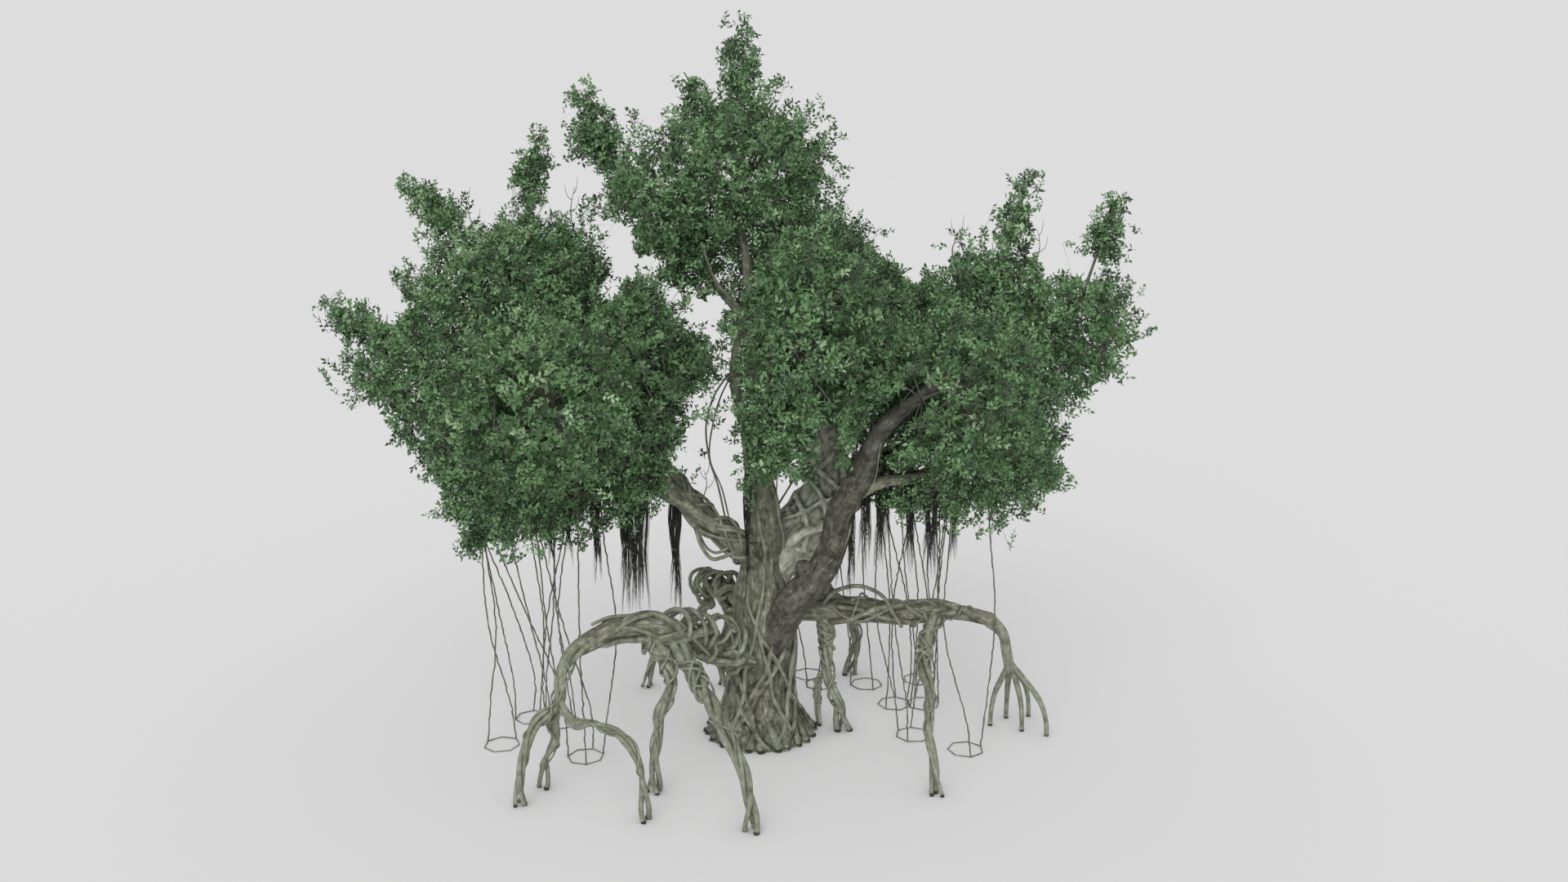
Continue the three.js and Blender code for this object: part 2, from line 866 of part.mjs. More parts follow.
function rootBunch({ name, under, tops, coil }) {
  const mass = massNamed(under);
  const ring = new THREE.TorusGeometry(COIL_RADIUS, ROOT_RADIUS, 3, COIL_SIDES);
  ring.translate(coil[0], coil[1], ROOT_RADIUS);
  const parts = [solidFrom(ring)];
  const samples = [];
  tops.forEach(([x, y], i) => {
    const bearing = ((2 * i + 1) * 2 * Math.PI) / COIL_SIDES;
    const endX = coil[0] + COIL_RADIUS * Math.cos(bearing);
    const endY = coil[1] + COIL_RADIUS * Math.sin(bearing);
    const line = new THREE.CubicBezierCurve3(
      new THREE.Vector3(x, y, mass.at[2]),
      new THREE.Vector3(x, y, mass.at[2] * 0.45),
      new THREE.Vector3(endX + 120 * Math.cos(3 * i), endY, mass.at[2] * 0.3),
      new THREE.Vector3(endX, endY, ROOT_RADIUS),
    );
    parts.push(sweep(line, () => ROOT_RADIUS, 3, 4));
    for (const place of line.getSpacedPoints(SAMPLES)) samples.push({ place, radius: ROOT_RADIUS });
  });
  hangings.set(name, { solid: hungFrom(under, joined(parts)), samples, material: BARK });
}
ROOT_BUNCHES.forEach(rootBunch);

// A dense bunch of fine roots that has not reached the ground.
function tassel({ name, under, top: [x, y, high], low, radius }) {
  const line = new THREE.CubicBezierCurve3(
    new THREE.Vector3(x, y, high),
    new THREE.Vector3(x, y, high * 0.8),
    new THREE.Vector3(x + radius, y, low + 900),
    new THREE.Vector3(x, y, low),
  );
  const fall = (u) => radius * Math.min(1, 2.2 * (1 - u) + 0.06);
  const body = sweep(line, (u, angle) => fall(u) * (1 + 0.25 * Math.sin(2 * angle + 14 * u)), 5, 6);
  const samples = line.getSpacedPoints(SAMPLES).map((place) => ({ place, radius }));
  hangings.set(name, { solid: hungFrom(under, body), samples, material: DARK_ROOT });
}
TASSELS.forEach(tassel);

// ---- Blades and twigs ----
const kept = [...wood.values(), ...hangings.values()];
const fits = (mass, p) => keepsToItself(mass, p) && clearOf(kept, p);

function touches(solid, other) {
  const a = solid.boundingBox();
  const b = other.boundingBox();
  const apart = [0, 1, 2].some((k) => a.max[k] < b.min[k] || b.max[k] < a.min[k]);
  return !apart && solid.minGap(other, CLEARANCE) < CLEARANCE / 2;
}

// A stretched octahedron: eight faces, its foot at one end and its tip along way.
function blade(foot, way, size, roll) {
  const length = BLADE_LENGTH * size;
  const geometry = new THREE.OctahedronGeometry(1, 0);
  geometry.scale((BLADE_WIDTH * size) / 2, BLADE_THICKNESS / 2, length / 2);
  geometry.translate(0, 0, length / 2);
  geometry.rotateZ(roll);
  geometry.applyQuaternion(new THREE.Quaternion().setFromUnitVectors(UP, way));
  geometry.translate(foot.x, foot.y, foot.z);
  return geometry;
}

// A blade whose corners would leave its mass's space or come near wood is left out.
function addBlade(mass, parts, foot, way, size, roll) {
  const geometry = blade(foot, way, size, roll);
  const { position } = geometry.attributes;
  const corner = new THREE.Vector3();
  for (let i = 0; i < position.count; i++) {
    corner.fromBufferAttribute(position, i);
    if (corner.distanceTo(foot) > 1 && !fits(mass, corner)) return false;
  }
  const solid = solidFrom(geometry);
  if (kept.some((piece) => touches(solid, piece.solid))) return false;
  parts.push(solid);
  return true;
}

// The i-th of count ways out, spread evenly round a ball.
function wayOut(i, count, turn) {
  const height = 1 - (2 * (i + 0.5)) / count;
  const bearing = i * Math.PI * (3 - Math.sqrt(5)) + turn;
  const ring = Math.sqrt(1 - height * height);
  return new THREE.Vector3(ring * Math.cos(bearing), ring * Math.sin(bearing), height);
}

const twig = (from, to, radius) =>
  sweep(new THREE.LineCurve3(from, to), (u) => radius * (1 - 0.4 * u), 3, 1);

// Blades that stand straight out of the heart.
function addHeartBlades(mass, parts, random) {
  const turn = random() * Math.PI;
  for (let i = 0; i < BLADES_ON_HEART; i++) {
    const out = wayOut(i, BLADES_ON_HEART, turn);
    const tip = placeIn(mass, out, OUTLINE_SHARE - 0.02 - 0.1 * random());
    const inward = point(mass.at).sub(tip).normalize();
    const aside = new THREE.Vector3(random() - 0.5, random() - 0.5, random() - 0.2).multiplyScalar(0.7);
    const way = inward.negate().add(aside).normalize();
    const size = 0.85 + 0.25 * random();
    addBlade(mass, parts, tip.addScaledVector(way, -BLADE_LENGTH * size), way, size, random() * Math.PI);
  }
}

// Twigs that branch from the stem and run out through the heart, with a blade at the tip and two beside.
function addTwigs(mass, parts, random) {
  const turn = random() * Math.PI;
  for (let i = 0; i < TWIGS; i++) {
    const out = wayOut(i, TWIGS, turn);
    const end = placeIn(mass, out, TWIG_END);
    if (!fits(mass, end)) continue;
    const start = placeIn(mass, out, TWIG_START);
    const way = end.clone().sub(start).normalize();
    const side = new THREE.Vector3().crossVectors(way, UP).normalize().applyAxisAngle(way, random() * 3);
    let grown = 0;
    for (const [back, lean, size] of [[15, 0, 0.62], [90, 1.2, 0.75], [160, -1.2, 0.75]]) {
      const foot = end.clone().addScaledVector(way, -back);
      const heading = way.clone().addScaledVector(side, lean).normalize();
      if (addBlade(mass, parts, foot, heading, size, random() * Math.PI)) grown += 1;
    }
    if (grown > 0) parts.push(twig(start, end, TWIG_RADIUS));
  }
}

// A plume's own blades stand round its heart.
const PLUME_BLADES = 5;

function addPlume(mass, parts, plume) {
  const { middle, way } = plumeHeart(mass, plume);
  const radius = plume[3];
  parts.push(twig(point(mass.at), middle, TWIG_RADIUS * 1.4));
  const across = new THREE.Vector3().crossVectors(way, new THREE.Vector3(0, 1, 0)).normalize();
  const size = (radius * 1.5) / BLADE_LENGTH;
  for (let i = 0; i < PLUME_BLADES; i++) {
    const foot = middle.clone().addScaledVector(way, radius * (0.75 - (1.9 * i) / PLUME_BLADES));
    const side = across.clone().applyAxisAngle(way, i * 2.4);
    const heading = way.clone().addScaledVector(side, i === 0 ? 0 : 0.9).normalize();
    addBlade(mass, parts, foot, heading, size, i);
  }
}

// The stem leaves the tip of the limb that carries the mass and bends to its middle.
function stemOf(mass) {
  const { curve, samples } = wood.get(mass.foot);
  const heading = curve.getTangent(1);
  const foot = curve.getPoint(1).addScaledVector(heading, GAP);
  const centre = point(mass.at);
  const bend = foot.clone().addScaledVector(heading, foot.distanceTo(centre) * 0.4);
  const radius = samples[SAMPLES].radius * 0.9;
  return sweep(new THREE.QuadraticBezierCurve3(foot, bend, centre), (u) => radius * (1 - 0.4 * u), 5, 3);
}

function foliage(mass, index) {
  const random = seeded(101 + index);
  let heart = hearts.get(mass.name);
  for (const { grown, samples } of wood.values()) {
    if (samples.some((s) => depthInAll(mass, s.place) < 1)) heart = heart.subtract(grown);
  }
  const parts = [heart, stemOf(mass)];
  addHeartBlades(mass, parts, random);
  addTwigs(mass, parts, random);
  for (const plume of mass.plumes ?? []) addPlume(mass, parts, plume);
  return largest(joined(parts));
}

// ---- The tree ----
const tree = new THREE.Group();

function show(name, solid, material) {
  const mesh = new THREE.Mesh(geometryFrom(solid), new THREE.MeshStandardMaterial(material));
  mesh.name = name;
  tree.add(mesh);
}

for (const [name, { solid }] of wood) show(name, solid, name === "bough_right_front" ? OLD_BARK : BARK);
for (const [name, { solid, material }] of hangings) show(name, solid, material);
MASSES.forEach((mass, index) => show(mass.name, foliage(mass, index), LEAF));

export default tree;
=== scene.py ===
"""The look of a banyan tree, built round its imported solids: fused bark on the trunk, boughs and low
limbs, creeping strands over them, twisted prop roots, hanging aerial roots, and a crown of twigs
and leaf sprays. Metres, +Z up, the origin on the ground at the middle of the trunk."""
import itertools
import math

import bmesh
import bpy
import numpy as np
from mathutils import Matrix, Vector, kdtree


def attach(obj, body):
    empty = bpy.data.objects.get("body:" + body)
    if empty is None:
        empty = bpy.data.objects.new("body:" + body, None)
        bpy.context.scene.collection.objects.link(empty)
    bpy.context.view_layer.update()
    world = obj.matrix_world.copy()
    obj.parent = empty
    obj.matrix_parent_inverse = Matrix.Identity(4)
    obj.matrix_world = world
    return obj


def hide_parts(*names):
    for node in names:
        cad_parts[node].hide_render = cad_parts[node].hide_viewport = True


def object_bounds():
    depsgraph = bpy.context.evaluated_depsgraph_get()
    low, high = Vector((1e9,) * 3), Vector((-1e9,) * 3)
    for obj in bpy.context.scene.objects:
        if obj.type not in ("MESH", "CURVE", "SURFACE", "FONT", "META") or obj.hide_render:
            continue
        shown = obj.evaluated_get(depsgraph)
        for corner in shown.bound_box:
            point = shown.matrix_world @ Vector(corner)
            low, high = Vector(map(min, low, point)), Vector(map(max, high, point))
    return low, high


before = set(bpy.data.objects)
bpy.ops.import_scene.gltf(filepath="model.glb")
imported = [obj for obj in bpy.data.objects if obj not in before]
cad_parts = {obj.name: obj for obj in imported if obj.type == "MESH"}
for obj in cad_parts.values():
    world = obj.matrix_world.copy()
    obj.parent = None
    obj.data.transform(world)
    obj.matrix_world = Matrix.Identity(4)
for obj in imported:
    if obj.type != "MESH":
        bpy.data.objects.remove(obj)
solid_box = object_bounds()

MM = 0.001
UP = np.array([0.0, 0.0, 1.0])
EAST = np.array([1.0, 0.0, 0.0])
ON_GROUND = (1, 1, 0)  # times a place: the place on the ground below it
TURN = 2 * math.pi
GOLDEN_TURN = math.pi * (3 - math.sqrt(5))
STEP = 0.05  # how far apart the points of a limb or strand lie
SEED = 11
random = np.random.default_rng(SEED)

# ---- The trunk's named sizes, in metres ----
FLARE_RADIUS = 1.09
WAIST_RADIUS = 0.61
WAIST_HEIGHT = 1.25
SWELL = 0.04  # how far the trunk swells again between its waist and the fork
FORK_HEIGHT = 3.5
FORK_LEAN = 0.04
TRUNK_TOP = 4.15
CLOSING = ([0, 2.0, 2.9, 3.5, 4.15], [1, 1, 0.95, 0.76, 0.53])  # heights, shares of the radius
LEADER_RADII = (0.4, 0.35, 0.24, 0.12, 0.105, 0.095, 0.085, 0.07)

# ---- Limbs, in millimetres: where each starts, its radii on the way, and what it goes through.
# A start is a place, or another limb and a share of its curve. ----
LEADER_LINE = [(40, 0, 3300), (75, 0, 4700), (-150, 0, 6000), (-480, 0, 7150), (-430, 0, 7800),
               (-200, 0, 8500), (-250, 0, 9500), (-380, 0, 10300)]
LEADER_BRANCH = [(-220, -50, 8400), (-450, -300, 8720), (-800, -450, 9150), (-1050, -550, 9850)]
BOUGHS = {
    "bough_left": (
        (-20, -50, 3500), (340, 230, 210, 190, 150, 110),
        [(-410, -200, 4000), (-960, -300, 4470), (-1650, -480, 5290), (-2900, -500, 6550),
         (-4300, 0, 7850)]),
    "bough_right_rear": (
        (150, 100, 3400), (470, 540, 560, 310, 200, 160, 120),
        [(500, 500, 3750), (1030, 900, 4150), (1310, 1200, 4620), (1340, 1400, 5200),
         (1350, 1450, 6100), (2050, 1000, 7650)]),
    "bough_right_front": (
        (180, -200, 1950), (390, 330, 305, 285, 260, 220, 165, 95),
        [(660, -650, 3000), (1140, -920, 3620), (1410, -1100, 4280), (1510, -1250, 4950),
         (1830, -1450, 5520), (2230, -1800, 6600), (3010, -2250, 7420)]),
}
LIMBS = {
    "limb_left_lower": (
        ("bough_left", 0.5), (190, 85),
        [(-2500, -900, 5450), (-3000, -1150, 5200), (-3600, -1200, 5350)]),
    "limb_left_front": (
        ("bough_left", 0.42), (190, 85),
        [(-1950, -1000, 5500), (-2800, -1900, 6200), (-3300, -2600, 6900)]),
    "limb_left_outer": (
        ("bough_left", 0.78), (130, 70),
        [(-4000, -1000, 6800), (-4900, -900, 6900), (-5850, -450, 7250)]),
    "limb_left_inner": (
        ("bough_left", 0.3), (150, 80),
        [(-1450, -900, 5000), (-1650, -1150, 5300), (-1800, -1200, 5850)]),
    "limb_left_back": (
        ("bough_left", 0.36), (200, 90),
        [(-1900, 900, 5000), (-3000, 2300, 5500), (-3700, 2700, 6500)]),
    "limb_back": (
        ("bough_right_rear", 0.3), (230, 90),
        [(1300, 1900, 4500), (900, 3300, 5000), (900, 3900, 6150)]),
    "limb_right_back": (
        ("bough_right_rear", 0.5), (200, 85),
        [(2100, 1900, 5200), (3200, 2600, 5400), (3950, 2850, 6300)]),
    "limb_right_upper": (
        ("bough_right_rear", 0.78), (150, 75),
        [(2300, 1500, 6400), (3000, 600, 6900), (3550, 400, 7700)]),
    "limb_right_lower": (
        ("bough_right_front", 0.63), (120, 70),
        [(2300, -1450, 5550), (2750, -1200, 5550), (3300, -1000, 5700)]),
    "limb_right_outer": (
        ("limb_right_upper", 0.6), (80, 60),
        [(3900, 800, 6900), (4900, 800, 7000), (5650, 450, 7800)]),
    "limb_top_left": (
        ("trunk", 0.68), (85, 60),
        [(-650, 200, 8800), (-1050, 300, 9250), (-1450, 350, 9800)]),
    "limb_top_back": (
        ("trunk", 0.42), (120, 70),
        [(-300, 900, 7200), (400, 1900, 7500), (600, 2250, 8250)]),
    "limb_centre_front": (
        ("trunk", 0.36), (130, 75),
        [(-250, -700, 6550), (300, -1100, 6600), (550, -1350, 7050)]),
}
LOW_LIMBS = {
    "low_limb_left": (
        (-100, -300, 1600), (300, 270, 235, 200),
        [(-810, -800, 2070), (-1400, -1300, 2480), (-2040, -1800, 2860), (-2680, -2150, 2940),
         (-3120, -2450, 2790)]),
    "low_limb_right": (
        (470, 100, 2500), (270, 220, 190, 135),
        [(1120, 100, 2540), (2100, 0, 2560), (2900, -150, 2570), (3540, -250, 2640),
         (4180, -300, 2570), (4550, -300, 2480)]),
    "low_limb_rear_left": (
        (-280, 300, 2400), (270, 250, 220, 190),
        [(-630, 900, 2600), (-940, 1400, 2660), (-1170, 1700, 2400), (-1100, 1800, 2050)]),
    "low_limb_rear_right": (
        (150, 200, 2150), (240, 160),
        [(700, 1100, 2500), (1300, 1800, 2350), (1620, 2200, 1880)]),
}
PROPS = {
    "prop_left_outer": (
        ("low_limb_left", 0.985), (180, 130, 110, 90, 80),
        [(-3400, -2700, 2590), (-3550, -2870, 2200), (-3590, -2960, 1850), (-4000, -3100, 1450),
         (-4210, -3150, 860), (-4300, -3200, 0)]),
    "prop_left_rear": (
        ("prop_left_outer", 0.48), (110, 85),
        [(-3710, -2800, 1480), (-3700, -2700, 1070), (-3910, -2600, 590), (-3980, -2550, 0)]),
    "prop_left_inner": (
        ("prop_left_outer", 0.46), (95, 85),
        [(-3260, -3200, 1560), (-2870, -3400, 1640), (-2430, -3600, 1570), (-2130, -3700, 1200),
         (-2000, -3750, 680), (-1970, -3780, 0)]),
    "prop_left_middle": (
        ("low_limb_left", 0.62), (150, 95),
        [(-1620, -2100, 1900), (-1780, -2450, 1450), (-1860, -2630, 900), (-1920, -2720, 0)]),
    "prop_left_front": (
        ("low_limb_left", 0.48), (190, 150, 105),
        [(-1110, -2300, 2000), (-810, -2900, 1760), (-600, -3400, 1550), (-340, -3800, 1250),
         (-180, -4050, 830), (-80, -4150, 0)]),
    "prop_right_middle": (
        ("low_limb_right", 0.66), (160, 110, 85),
        [(3170, -900, 1950), (3230, -1700, 1500), (3150, -2400, 1050), (3270, -2850, 0)]),
    "prop_right_inner": (
        ("low_limb_right", 0.2), (160, 130, 120),
        [(1330, 120, 1850), (1370, 80, 1100), (1600, 20, 450), (1670, 0, 0)]),
    "prop_right_near": (
        ("prop_right_inner", 0.5), (75, 62),
        [(1200, 260, 1050), (1150, 260, 500), (1190, 240, 0)]),
    "prop_rear_left_outer": (
        ("low_limb_rear_left", 0.9), (130, 80),
        [(-1350, 1850, 1830), (-1690, 1950, 1530), (-2170, 2100, 1050), (-2460, 2200, 500),
         (-2560, 2240, 0)]),
    "prop_rear_left_inner": (
        ("low_limb_rear_left", 0.5), (130, 90),
        [(-680, 1700, 1700), (-800, 2200, 900), (-840, 2340, 0)]),
    "prop_rear_right_outer": (
        ("low_limb_rear_right", 0.96), (150, 105),
        [(1950, 2500, 1500), (2080, 2850, 800), (1940, 2950, 0)]),
}
CLAW_FORK = (5030, 0, 1250)
CLAW_LINE = [(4820, -250, 2170), (4930, -150, 1750), CLAW_FORK]
CLAW_TOES = [(4700, 190), (5090, 560), (5300, -80), (5570, 640), (5760, -310)]

# ---- The crown's masses, in millimetres: each one's middle, its reach along each axis, the limb
# that carries it, and its plumes. A plume is its tip, its radius and, unless it points straight
# away from the middle, the place that it points from. ----
MASSES = {
    "foliage_left_outer": (
        (-6350, -300, 7500), (1500, 1500, 1500), "limb_left_outer", [(-8400, -200, 8850, 420)]),
    "foliage_left_upper": (
        (-4750, 400, 8850), (2000, 1800, 1750), "bough_left",
        [(-6750, 500, 11050, 420), (-4150, 500, 12000, 430)]),
    "foliage_left_lower": (
        (-4350, -1200, 5750), (1850, 1650, 1450), "limb_left_lower", [(-5600, -1300, 4100, 400)]),
    "foliage_left_front": ((-3750, -3000, 7350), (1700, 1500, 1600), "limb_left_front", []),
    "foliage_left_inner": (
        (-2250, -1200, 7250), (1300, 1450, 2050), "limb_left_inner",
        [(-650, -1100, 7900, 620), (-2600, -1300, 4600, 850), (-880, -500, 8300, 400)]),
    "foliage_left_back": ((-4000, 3000, 7400), (2100, 1900, 1900), "limb_left_back", []),
    "foliage_top": (
        (-300, 200, 11200), (1650, 1650, 1450), "trunk",
        [(-300, 0, 14000, 500), (-1450, 200, 13050, 240)]),
    "foliage_top_left": (
        (-1600, 300, 10600), (1350, 1450, 1450), "limb_top_left",
        [(-3350, 500, 12950, 560, (-2750, 400, 10500)), (-900, 200, 8750, 650)]),
    "foliage_top_back": ((900, 2900, 9000), (1700, 1750, 1550), "limb_top_back", []),
    "foliage_centre_front": (
        (950, -1900, 8000), (1600, 1450, 2400), "limb_centre_front", [(-100, -1900, 5500, 640)]),
    "foliage_right_inner": ((2050, 400, 8100), (1500, 1650, 1500), "bough_right_rear", []),
    "foliage_right_upper": (
        (4400, 300, 8300), (1650, 1650, 1600), "limb_right_upper", [(5150, 400, 11200, 480)]),
    "foliage_right_outer": (
        (6000, 300, 8150), (1300, 1350, 1400), "limb_right_outer", [(6850, 400, 10850, 470)]),
    "foliage_right_lower": (
        (3800, -700, 6000), (2050, 1550, 1350), "limb_right_lower", [(6000, -700, 5350, 420)]),
    "foliage_right_front": ((3550, -2600, 7450), (1450, 1350, 1550), "bough_right_front", []),
    "foliage_right_back": ((4400, 3200, 7100), (2050, 1900, 1850), "limb_right_back", []),
    "foliage_back": ((1300, 4300, 7350), (1900, 1800, 1900), "limb_back", []),
}

# ---- Small tools ----
# Large odd numbers that scatter the corners of noise's lattice.
SCATTER = (73856093, 19349663, 83492791)
STIR = (2654435761, 2246822519)
WORD = 0xFFFFFFFF


def metres(points):
    return np.asarray(points, float) * MM


def unit(vectors):
    """The same vectors, each a metre long."""
    length = np.linalg.norm(vectors, axis=-1, keepdims=True)
    return vectors / np.maximum(length, 1e-9)


def noise(places, size, seed=0):
    """Smooth noise from -1 to 1, in lumps about size metres across. size may differ by axis."""
    scaled = places / np.asarray(size) + 31.7 * seed
    cell = np.floor(scaled).astype(np.int64)
    inside = scaled - cell
    inside = inside * inside * (3 - 2 * inside)
    total = np.zeros(len(places))
    for corner in itertools.product((0, 1), repeat=3):
        x, y, z = (cell + corner).T
        mixed = (x * SCATTER[0]) ^ (y * SCATTER[1]) ^ (z * SCATTER[2])
        mixed = (mixed * STIR[0]) & WORD
        mixed = ((mixed ^ (mixed >> 15)) * STIR[1]) & WORD
        value = (mixed ^ (mixed >> 13)) / (WORD / 2) - 1
        weight = np.prod(np.where(corner, inside, 1 - inside), axis=1)
        total += value * weight
    return total


def spline(points, shares):
    """Places at shares from 0 to 1 of the smooth curve through the points."""
    points = np.asarray(points, float)
    last = len(points) - 1
    place = np.clip(shares, 0, 1) * last
    i = np.minimum(place.astype(int), last - 1)
    t = (place - i)[:, None]
    padded = np.vstack([2 * points[0] - points[1], points, 2 * points[-1] - points[-2]])
    p0, p1, p2, p3 = (padded[i + k] for k in range(4))
    d0, d1, d2 = (
        np.sqrt(np.linalg.norm(b - a, axis=1, keepdims=True))
        for a, b in ((p0, p1), (p1, p2), (p2, p3))
    )
    leaving = ((p1 - p0) / d0 - (p2 - p0) / (d0 + d1) + (p2 - p1) / d1) * d1
    arriving = ((p2 - p1) / d1 - (p3 - p1) / (d1 + d2) + (p3 - p2) / d2) * d1
    bend = -3 * p1 + 3 * p2 - 2 * leaving - arriving
    return p1 + leaving * t + bend * t**2 + (2 * p1 - 2 * p2 + leaving + arriving) * t**3


def bezier(start, bend, end, count):
    t = np.linspace(0, 1, count)[:, None]
    return start * (1 - t)**2 + 2 * bend * t * (1 - t) + end * t * t


def evenly(path, step):
    """The same path with its points evenly spaced, about a step apart."""
    along = np.r_[0, np.cumsum(np.linalg.norm(np.diff(path, axis=0), axis=1))]
    wanted = np.linspace(0, along[-1], max(4, round(along[-1] / step) + 1))
    return np.column_stack([np.interp(wanted, along, path[:, k]) for k in range(3)])


def smooth_line(points, step=STEP):
    return evenly(spline(points, np.linspace(0, 1, 60 * len(points))), step)


def frames(line):
    """The heading at every point of a line, and two directions across it that never twist."""
    heading = unit(np.gradient(line, axis=0))
    side = UP if abs(heading[0] @ UP) < 0.9 else EAST
    across = np.empty_like(line)
    for i, way in enumerate(heading):
        side = side - way * (side @ way)
        side = side / np.linalg.norm(side)
        across[i] = side
    return heading, across, np.cross(heading, across)


def turned(first, second, angle):
    """The directions at an angle from the first ones towards the second ones."""
    return first * np.cos(angle)[..., None] + second * np.sin(angle)[..., None]


def spread_radii(radii, count):
    return np.interp(np.linspace(0, 1, count), np.linspace(0, 1, len(radii)), radii)


class Limb:
    """A limb's middle line with its radius and directions, at even steps."""

    def __init__(self, points, radii, step=STEP):
        self.points = np.asarray(points, float)
        self.radii = radii
        self.line, self.radius = self.redrawn(step)
        self.heading, self.across, self.beside = frames(self.line)

    def redrawn(self, step):
        """The middle line and its radii at a step of their own."""
        line = smooth_line(self.points, step)
        return line, spread_radii(self.radii, len(line))

    def curve_place(self, share):
        return spline(self.points, np.array([share]))[0]

    def off(self, share, angle, out):
        """Places beside the limb: how far along, at what angle round it, how far from its middle."""
        steps = np.linspace(0, 1, len(self.line))
        line, across, beside = (
            np.column_stack([np.interp(share, steps, v) for v in values.T])
            for values in (self.line, self.across, self.beside)
        )
        return line + unit(turned(across, beside, angle)) * out[:, None]

    def radius_at(self, share):
        return np.interp(share, np.linspace(0, 1, len(self.line)), self.radius)


# The two rings that round off a tube's end: how far out and how wide, in the end's radii.
DOME_OUT = np.array([[0.85], [0.5]])
DOME_WIDE = np.array([0.5, 0.86])


class Stock:
    """Tubes gathered up until they are made into one mesh. grain is each corner's place in its own
    tube laid straight, so that fibres can be drawn along it."""

    def __init__(self):
        self.verts, self.faces, self.grain = [], [], []
        self.rings, self.ring_of = [], []
        self.count = self.ring_count = 0

    def add_tube(self, line, radius, sides, relief=None, dome=True, lowest=None):
        """A closed tube. Its radius is one value, one to a point, or the pair that it tapers between.
        relief(grain) is a share by which each corner stands further out."""
        line = np.asarray(line, float)
        if isinstance(radius, tuple):
            radius = np.linspace(*radius, len(line))
        radius = np.broadcast_to(radius, len(line)).astype(float)
        if dome:
            back, ahead = unit(line[0] - line[1]), unit(line[-1] - line[-2])
            line = np.vstack([line[0] + back * radius[0] * DOME_OUT, line,
                              line[-1] + ahead * radius[-1] * DOME_OUT[::-1]])
            radius = np.r_[radius[0] * DOME_WIDE, radius, radius[-1] * DOME_WIDE[::-1]]
        heading, across, beside = frames(line)
        along = np.r_[0, np.cumsum(np.linalg.norm(np.diff(line, axis=0), axis=1))]
        angle = np.arange(sides) * TURN / sides
        rings = len(line)
        grain = np.empty((rings, sides, 3))
        grain[..., 0] = radius[:, None] * np.cos(angle)
        grain[..., 1] = radius[:, None] * np.sin(angle)
        grain[..., 2] = along[:, None]
        if relief is not None:
            grain[..., :2] *= 1 + relief(grain.reshape(-1, 3)).reshape(rings, sides, 1)
        verts = line[:, None] + across[:, None] * grain[..., :1] + beside[:, None] * grain[..., 1:2]
        verts = np.vstack([verts.reshape(-1, 3), line[:1], line[-1:]])
        if lowest is not None:
            verts[:, 2] = np.maximum(verts[:, 2], lowest)
        ends = np.array([[0, 0, along[0]], [0, 0, along[-1]]])
        rim = np.arange(sides)
        next_rim = (rim + 1) % sides
        low = sides * np.arange(rings - 1)[:, None]
        a, b = (low + rim).ravel(), (low + next_rim).ravel()
        high = (rings - 1) * sides
        foot, tip = np.full(sides, rings * sides), np.full(sides, rings * sides + 1)
        faces = np.vstack([
            np.column_stack([a, b, b + sides]),
            np.column_stack([a, b + sides, a + sides]),
            np.column_stack([foot, next_rim, rim]),
            np.column_stack([tip, high + rim, high + next_rim]),
        ])
        self.verts.append(verts)
        self.faces.append(faces + self.count)
        self.grain.append(np.vstack([grain.reshape(-1, 3), ends]))
        self.rings.append(np.hstack([line, across, beside, heading, along[:, None]]))
        self.ring_of.append(np.r_[np.repeat(np.arange(rings), sides), 0, rings - 1] + self.ring_count)
        self.count += len(verts)
        self.ring_count += rings

    def arrays(self):
        return np.vstack(self.verts), np.vstack(self.faces), np.vstack(self.grain)


def mesh_from(name, verts, faces, grain=None, smooth=True):
    mesh = bpy.data.meshes.new(name)
    mesh.vertices.add(len(verts))
    mesh.vertices.foreach_set("co", np.asarray(verts, np.float32).ravel())
    corners = faces.shape[1]
    mesh.loops.add(faces.size)
    mesh.loops.foreach_set("vertex_index", faces.astype(np.int32).ravel())
    mesh.polygons.add(len(faces))
    mesh.polygons.foreach_set("loop_start", np.arange(0, faces.size, corners, dtype=np.int32))
    mesh.polygons.foreach_set("use_smooth", np.full(len(faces), smooth))
    if grain is not None:
        kept = mesh.attributes.new("grain", "FLOAT_VECTOR", "POINT")
        kept.data.foreach_set("vector", np.asarray(grain, np.float32).ravel())
    mesh.update(calc_edges=True)
    mesh.validate()
    return mesh


def quad_faces(count, halves):
    """The triangles of count loose slips with four corners each, two triangles to a slip."""
    return (np.array(halves)[None] + 4 * np.arange(count)[:, None, None]).reshape(-1, 3)


def put_in_scene(name, data):
    made = bpy.data.objects.new(name, data)
    bpy.context.scene.collection.objects.link(made)
    return made


def show(name, mesh, material, replaced=()):
    """Puts a mesh in the scene as one piece of the tree."""
    piece = put_in_scene(name, mesh)
    mesh.materials.append(material)
    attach(piece, "root")
    if replaced:
        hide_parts(*replaced)


def show_stock(name, stock, material, replaced=()):
    show(name, mesh_from(name, *stock.arrays()), material, replaced)


# ---- Materials ----
def linear(hex_colour):
    """An sRGB hex colour as the linear values that shaders take."""
    parts = [int(hex_colour[k:k + 2], 16) / 255 for k in (1, 3, 5)]
    return [p / 12.92 if p <= 0.04045 else ((p + 0.055) / 1.055) ** 2.4 for p in parts] + [1.0]


